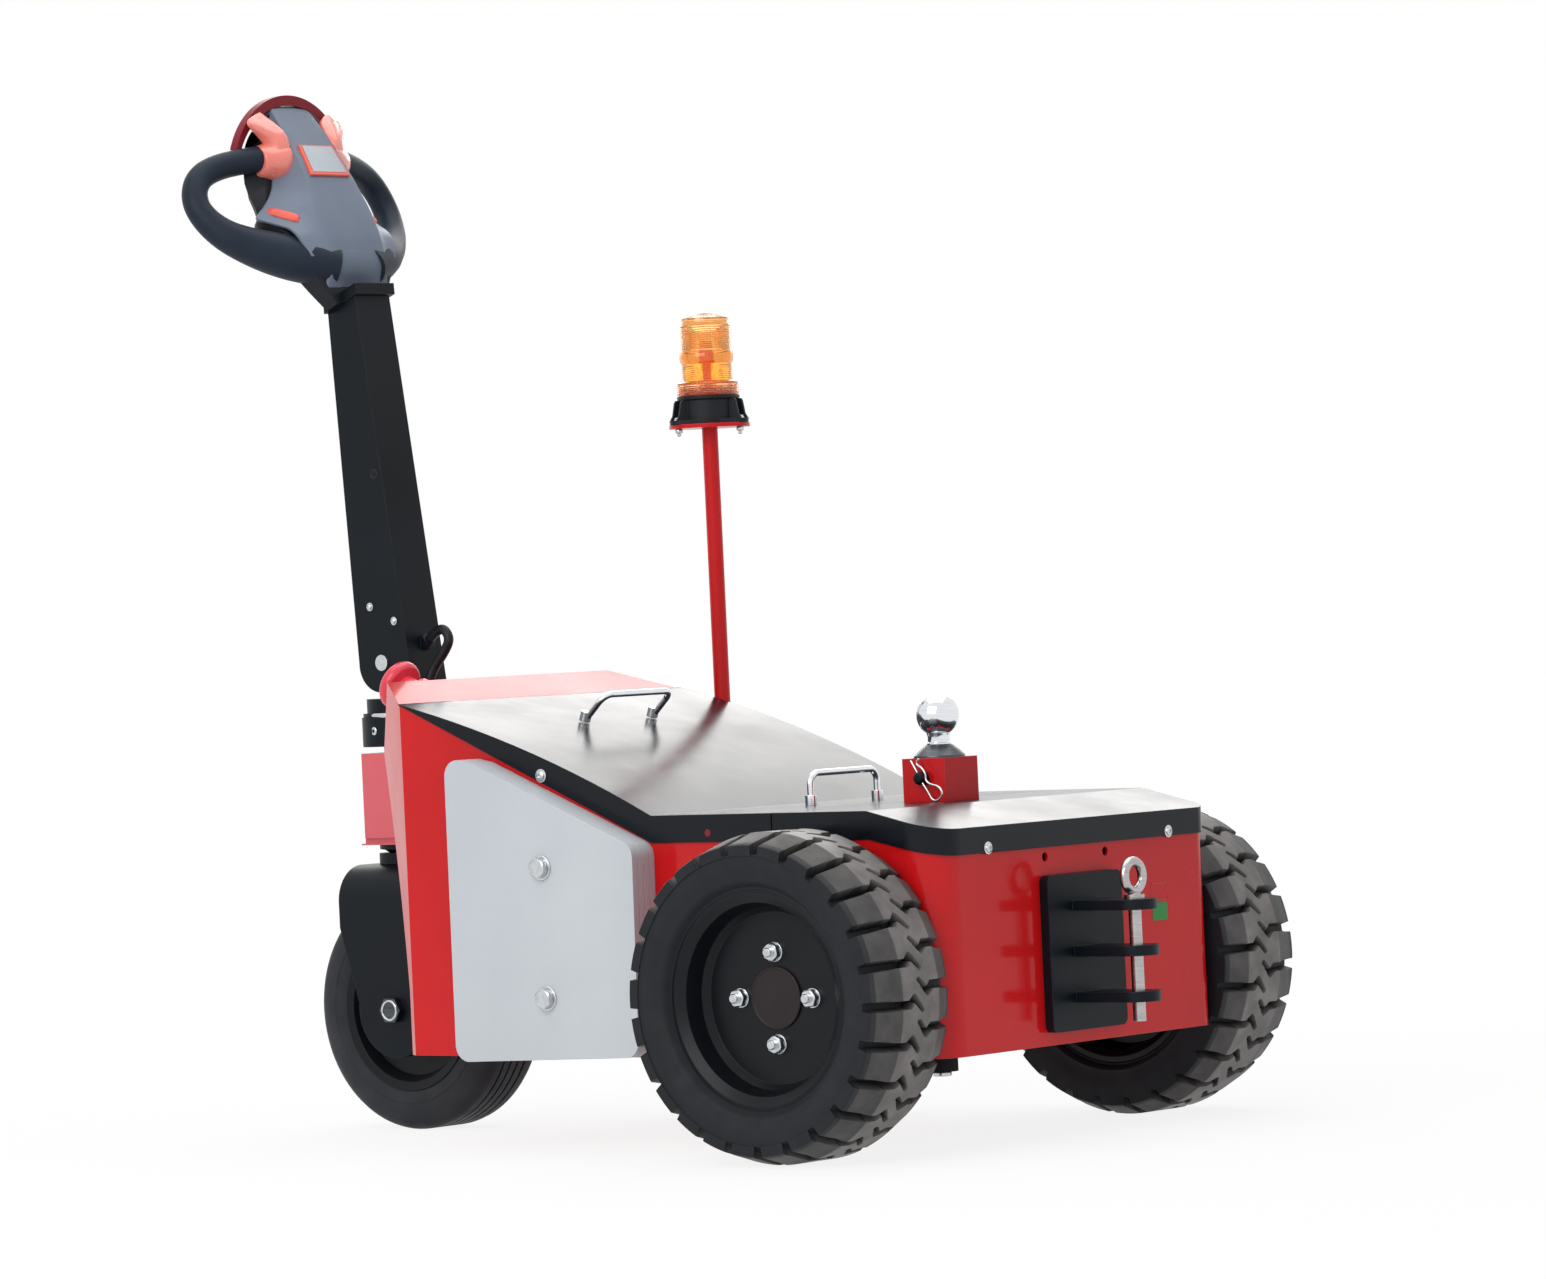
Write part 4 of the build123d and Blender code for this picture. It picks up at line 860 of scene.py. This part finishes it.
# foot: cup, three-lobed flange, lug at each lobe, bolts
mesh = bmesh.new()
turned(mesh, stand, (
    (0, 867), (37, 867), (37.4, 896), (39.4, 898), (39.6, 901.6), (38.4, 902.2), (0, 902.2)), 64)
outline = [pole_place + polar(40.5, lobe, 866.5) + polar(14.5, lobe - 60 + 10 * k)
           for lobe in LOBE_TURNS for k in range(13)]
slab(mesh, outline, Vector((0, 0, 0.0052)))
for lobe in LOBE_TURNS:
    along = polar(1000, lobe)
    across = Vector((-along.y, along.x, 0))
    for side in (-1, 1):
        rib = [pole_place + along * (a / 1000) + across * (side * 9.5 / 1000) + Vector((0, 0, z / 1000))
               for a, z in ((32, 870), (53, 870), (48, 878), (45, 894), (43, 897), (32, 897))]
        slab(mesh, rib, across * (side * -0.0032))
foot = piece("beacon_foot", mesh, housing, "chassis")
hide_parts("beacon_base")
mesh = bmesh.new()
for lobe in LOBE_TURNS:
    post = Matrix.Translation(pole_place + polar(44.5, lobe))
    turned(mesh, post, ((0, 871.2), (6.2, 871.2), (6.2, 872.4), (5.2, 873), (4.6, 875.4), (0, 876.6)), 20)
    turned(mesh, post, ((0, 851.4), (2.2, 851.8), (2.6, 852.6), (2.6, 862), (0, 862)), 16)
    hexagon(mesh, post, 4.9, 855.8, 861.4)
piece("beacon_bolts", mesh, zinc, "chassis")

# ---------------------------------------------------------------- tiller and steering details
mesh = bmesh.new()
for x, z in ((-900.3, 655.7), (-860.6, 636.7)):
    for side in (-1, 1):
        dome_screw(mesh, at(x, side * ARM_Y, z), (0, side, 0), 3.9)
piece("arm_screws", mesh, zinc, "tiller")
mesh = bmesh.new()
for side in (-1, 1):
    turned(mesh, pose(at(SWIVEL_X, side * FORK_END_Y, SWIVEL_R), (0, side, 0)),
           ((10.3, -0.6), (13.2, -0.6), (13.2, 0.8), (12.4, 1.6), (11, 1.6), (10.3, 0.8), (10.3, -0.6)), 40)
piece("axle_rings", mesh, zinc, "steering")
# thin black discs stand in for the arm's holes: painted shade of their insides
mesh = bmesh.new()
for side in (-1, 1):
    turned(mesh, pose(at(-882.8, side * ARM_Y, 822), (0, side, 0)),
           ((0, -0.3), (6.6, -0.3), (6.6, 0.3), (5.6, 0.6), (4.8, 0.1), (0, 0.1)), 24)
piece("arm_holes", mesh, rim_black, "tiller")
mesh = bmesh.new()
turned(mesh, Matrix.Translation(at(STEER_X, 0, 0)), (
    (40, 516.6), (44.6, 516.6), (45.4, 518), (45.4, 520.6), (44.6, 522), (40, 522), (40, 516.6)), 64)
piece("collar_ring", mesh, zinc, "steering")
mesh = bmesh.new()
for turn in (-100, 80):
    axis = polar(1000, turn)
    stand = pose(at(STEER_X, 0, 500) + axis * 0.0456, axis)
    turned(mesh, stand, ((0, -1), (5.4, -1), (5.4, 0.8), (4.6, 1.4), (2.4, 1.4), (2.4, 0.2), (0, 0.2)), 20)
piece("collar_screws", mesh, zinc, "steering")
mesh = bmesh.new()
turned(mesh, Matrix.Translation(at(STEER_X, 0, 0)), (
    (0, 346), (24, 346), (30, 350), (36, 351), (36, 362), (34, 364), (0, 364)), 48)
piece("head_bearing_nut", mesh, frame_black, "steering")

# ---------------------------------------------------------------- blank patch beside the hitch
PATCH = Vector((0.0007, 0, 0))
mesh = bmesh.new()
slab(mesh, [at(SHELL_END_X, y, z) for y, z in (
    (145.2, 242.4), (174.6, 242.4), (174.6, 263.6), (145.2, 263.6))], PATCH)
piece("label_lower", mesh, label_green, "chassis", smooth=False)
mesh = bmesh.new()
corners = ((145.4, 266.2), (177.2, 266.2), (177.2, 285.8), (145.4, 285.8))
for (y0, z0), (y1, z1) in zip(corners, corners[1:] + corners[:1]):
    along = Vector((0, y1 - y0, z1 - z0)).normalized()
    side = Vector((0, -along.z, along.y)) * 0.0005
    start, end = at(SHELL_END_X, y0, z0), at(SHELL_END_X, y1, z1)
    slab(mesh, [start - side, end - side, end + side, start + side], PATCH)
piece("label_border", mesh, label_rim, "chassis", smooth=False)

# drain plug under the axle housing
mesh = bmesh.new()
stand = Matrix.Translation(at(GEARBOX_X, 0, 0))
turned(mesh, stand, ((0, 70.5), (9, 70.5), (10, 71.5), (10, 76.2), (0, 76.2)), 24)
hexagon(mesh, stand, 11.5, 70.2, 75.8)
piece("drain_plug", mesh, zinc, "chassis")


# ---------------------------------------------------------------- floor, light and closing
WORLD_FILL = 0.5
LAMP_COLOUR = (1.0, 0.985, 0.965)
LAMPS = (                      # name, place, aimed at, size, watts
    ("left_box", (0.6, -3.6, 2.4), (0.0, 0.0, 0.4), (3.2, 2.4), 84),
    ("top_box", (-0.2, 0.3, 3.4), (0.0, 0.0, 0.3), (3.4, 3.0), 58),
    ("back_box", (-2.6, 3.2, 2.6), (0.0, 0.0, 0.5), (3.6, 2.0), 60),
)
FLOOR_R = 60                   # metres


def backdrop_ray(tree):
    """1 for rays that see the backdrop itself: straight, in gloss or through glass."""
    path = new_node(tree, "LightPath").outputs
    most = new_node(tree, "Math", {0: path["Is Camera Ray"], 1: path["Is Glossy Ray"]}, operation="MAXIMUM")
    return new_node(tree, "Math", {0: most.outputs[0], 1: path["Is Transmission Ray"]},
                    operation="MAXIMUM").outputs[0]


def paper_floor():
    """Pale floor that takes the object's shadow and turns to plain white further out."""
    mesh = bmesh.new()
    mesh.faces.new([mesh.verts.new(polar(1000 * FLOOR_R, 7.5 * k)) for k in range(48)])
    data = bpy.data.meshes.new("floor")
    mesh.to_mesh(data)
    mesh.free()
    ground = bpy.data.objects.new("floor", data)
    bpy.context.scene.collection.objects.link(ground)
    paper = bpy.data.materials.new("floor_paper")
    paper.use_nodes = True
    tree = paper.node_tree
    tree.nodes.clear()
    matt = new_node(tree, "BsdfDiffuse", {"Color": (0.86, 0.86, 0.87, 1)})
    glow = new_node(tree, "Emission", {"Color": (1, 1, 1, 1), "Strength": 1.0})
    place = new_node(tree, "TexCoord").outputs["Object"]
    reach = new_node(tree, "VectorMath", {0: place}, operation="LENGTH").outputs["Value"]
    fade = new_node(tree, "MapRange", {
        "Value": reach, "From Min": 0.7, "From Max": 2.4, "To Min": 0.86, "To Max": 1.0,
    }, interpolation_type="SMOOTHSTEP").outputs[0]
    share = new_node(tree, "Math", {0: backdrop_ray(tree), 1: fade}, operation="MULTIPLY").outputs[0]
    mixed = new_node(tree, "MixShader", {0: share, 1: matt.outputs[0], 2: glow.outputs[0]})
    new_node(tree, "OutputMaterial", {0: mixed.outputs[0]})
    data.materials.append(paper)


def studio_light():
    """Soft sky fill, white behind the object, and three softboxes."""
    world = bpy.data.worlds.new("World")
    bpy.context.scene.world = world
    world.use_nodes = True
    tree = world.node_tree
    tree.nodes.clear()
    fill = new_node(tree, "Background", {"Color": (0.93, 0.96, 1.0, 1), "Strength": WORLD_FILL})
    white = new_node(tree, "Background", {"Color": (1, 1, 1, 1), "Strength": 1.0})
    mixed = new_node(tree, "MixShader", {
        0: backdrop_ray(tree), 1: fill.outputs[0], 2: white.outputs[0]})
    new_node(tree, "OutputWorld", {0: mixed.outputs[0]})
    for name, place, target, size, power in LAMPS:
        lamp = bpy.data.lights.new(name, "AREA")
        lamp.shape = "RECTANGLE"
        lamp.size, lamp.size_y = size
        lamp.energy = power
        lamp.color = LAMP_COLOUR
        obj = bpy.data.objects.new(name, lamp)
        aim = (Vector(target) - Vector(place)).to_track_quat("-Z", "Y")
        obj.matrix_world = Matrix.Translation(place) @ aim.to_matrix().to_4x4()
        bpy.context.scene.collection.objects.link(obj)


paper_floor()
studio_light()
bpy.context.scene.view_settings.view_transform = "Standard"
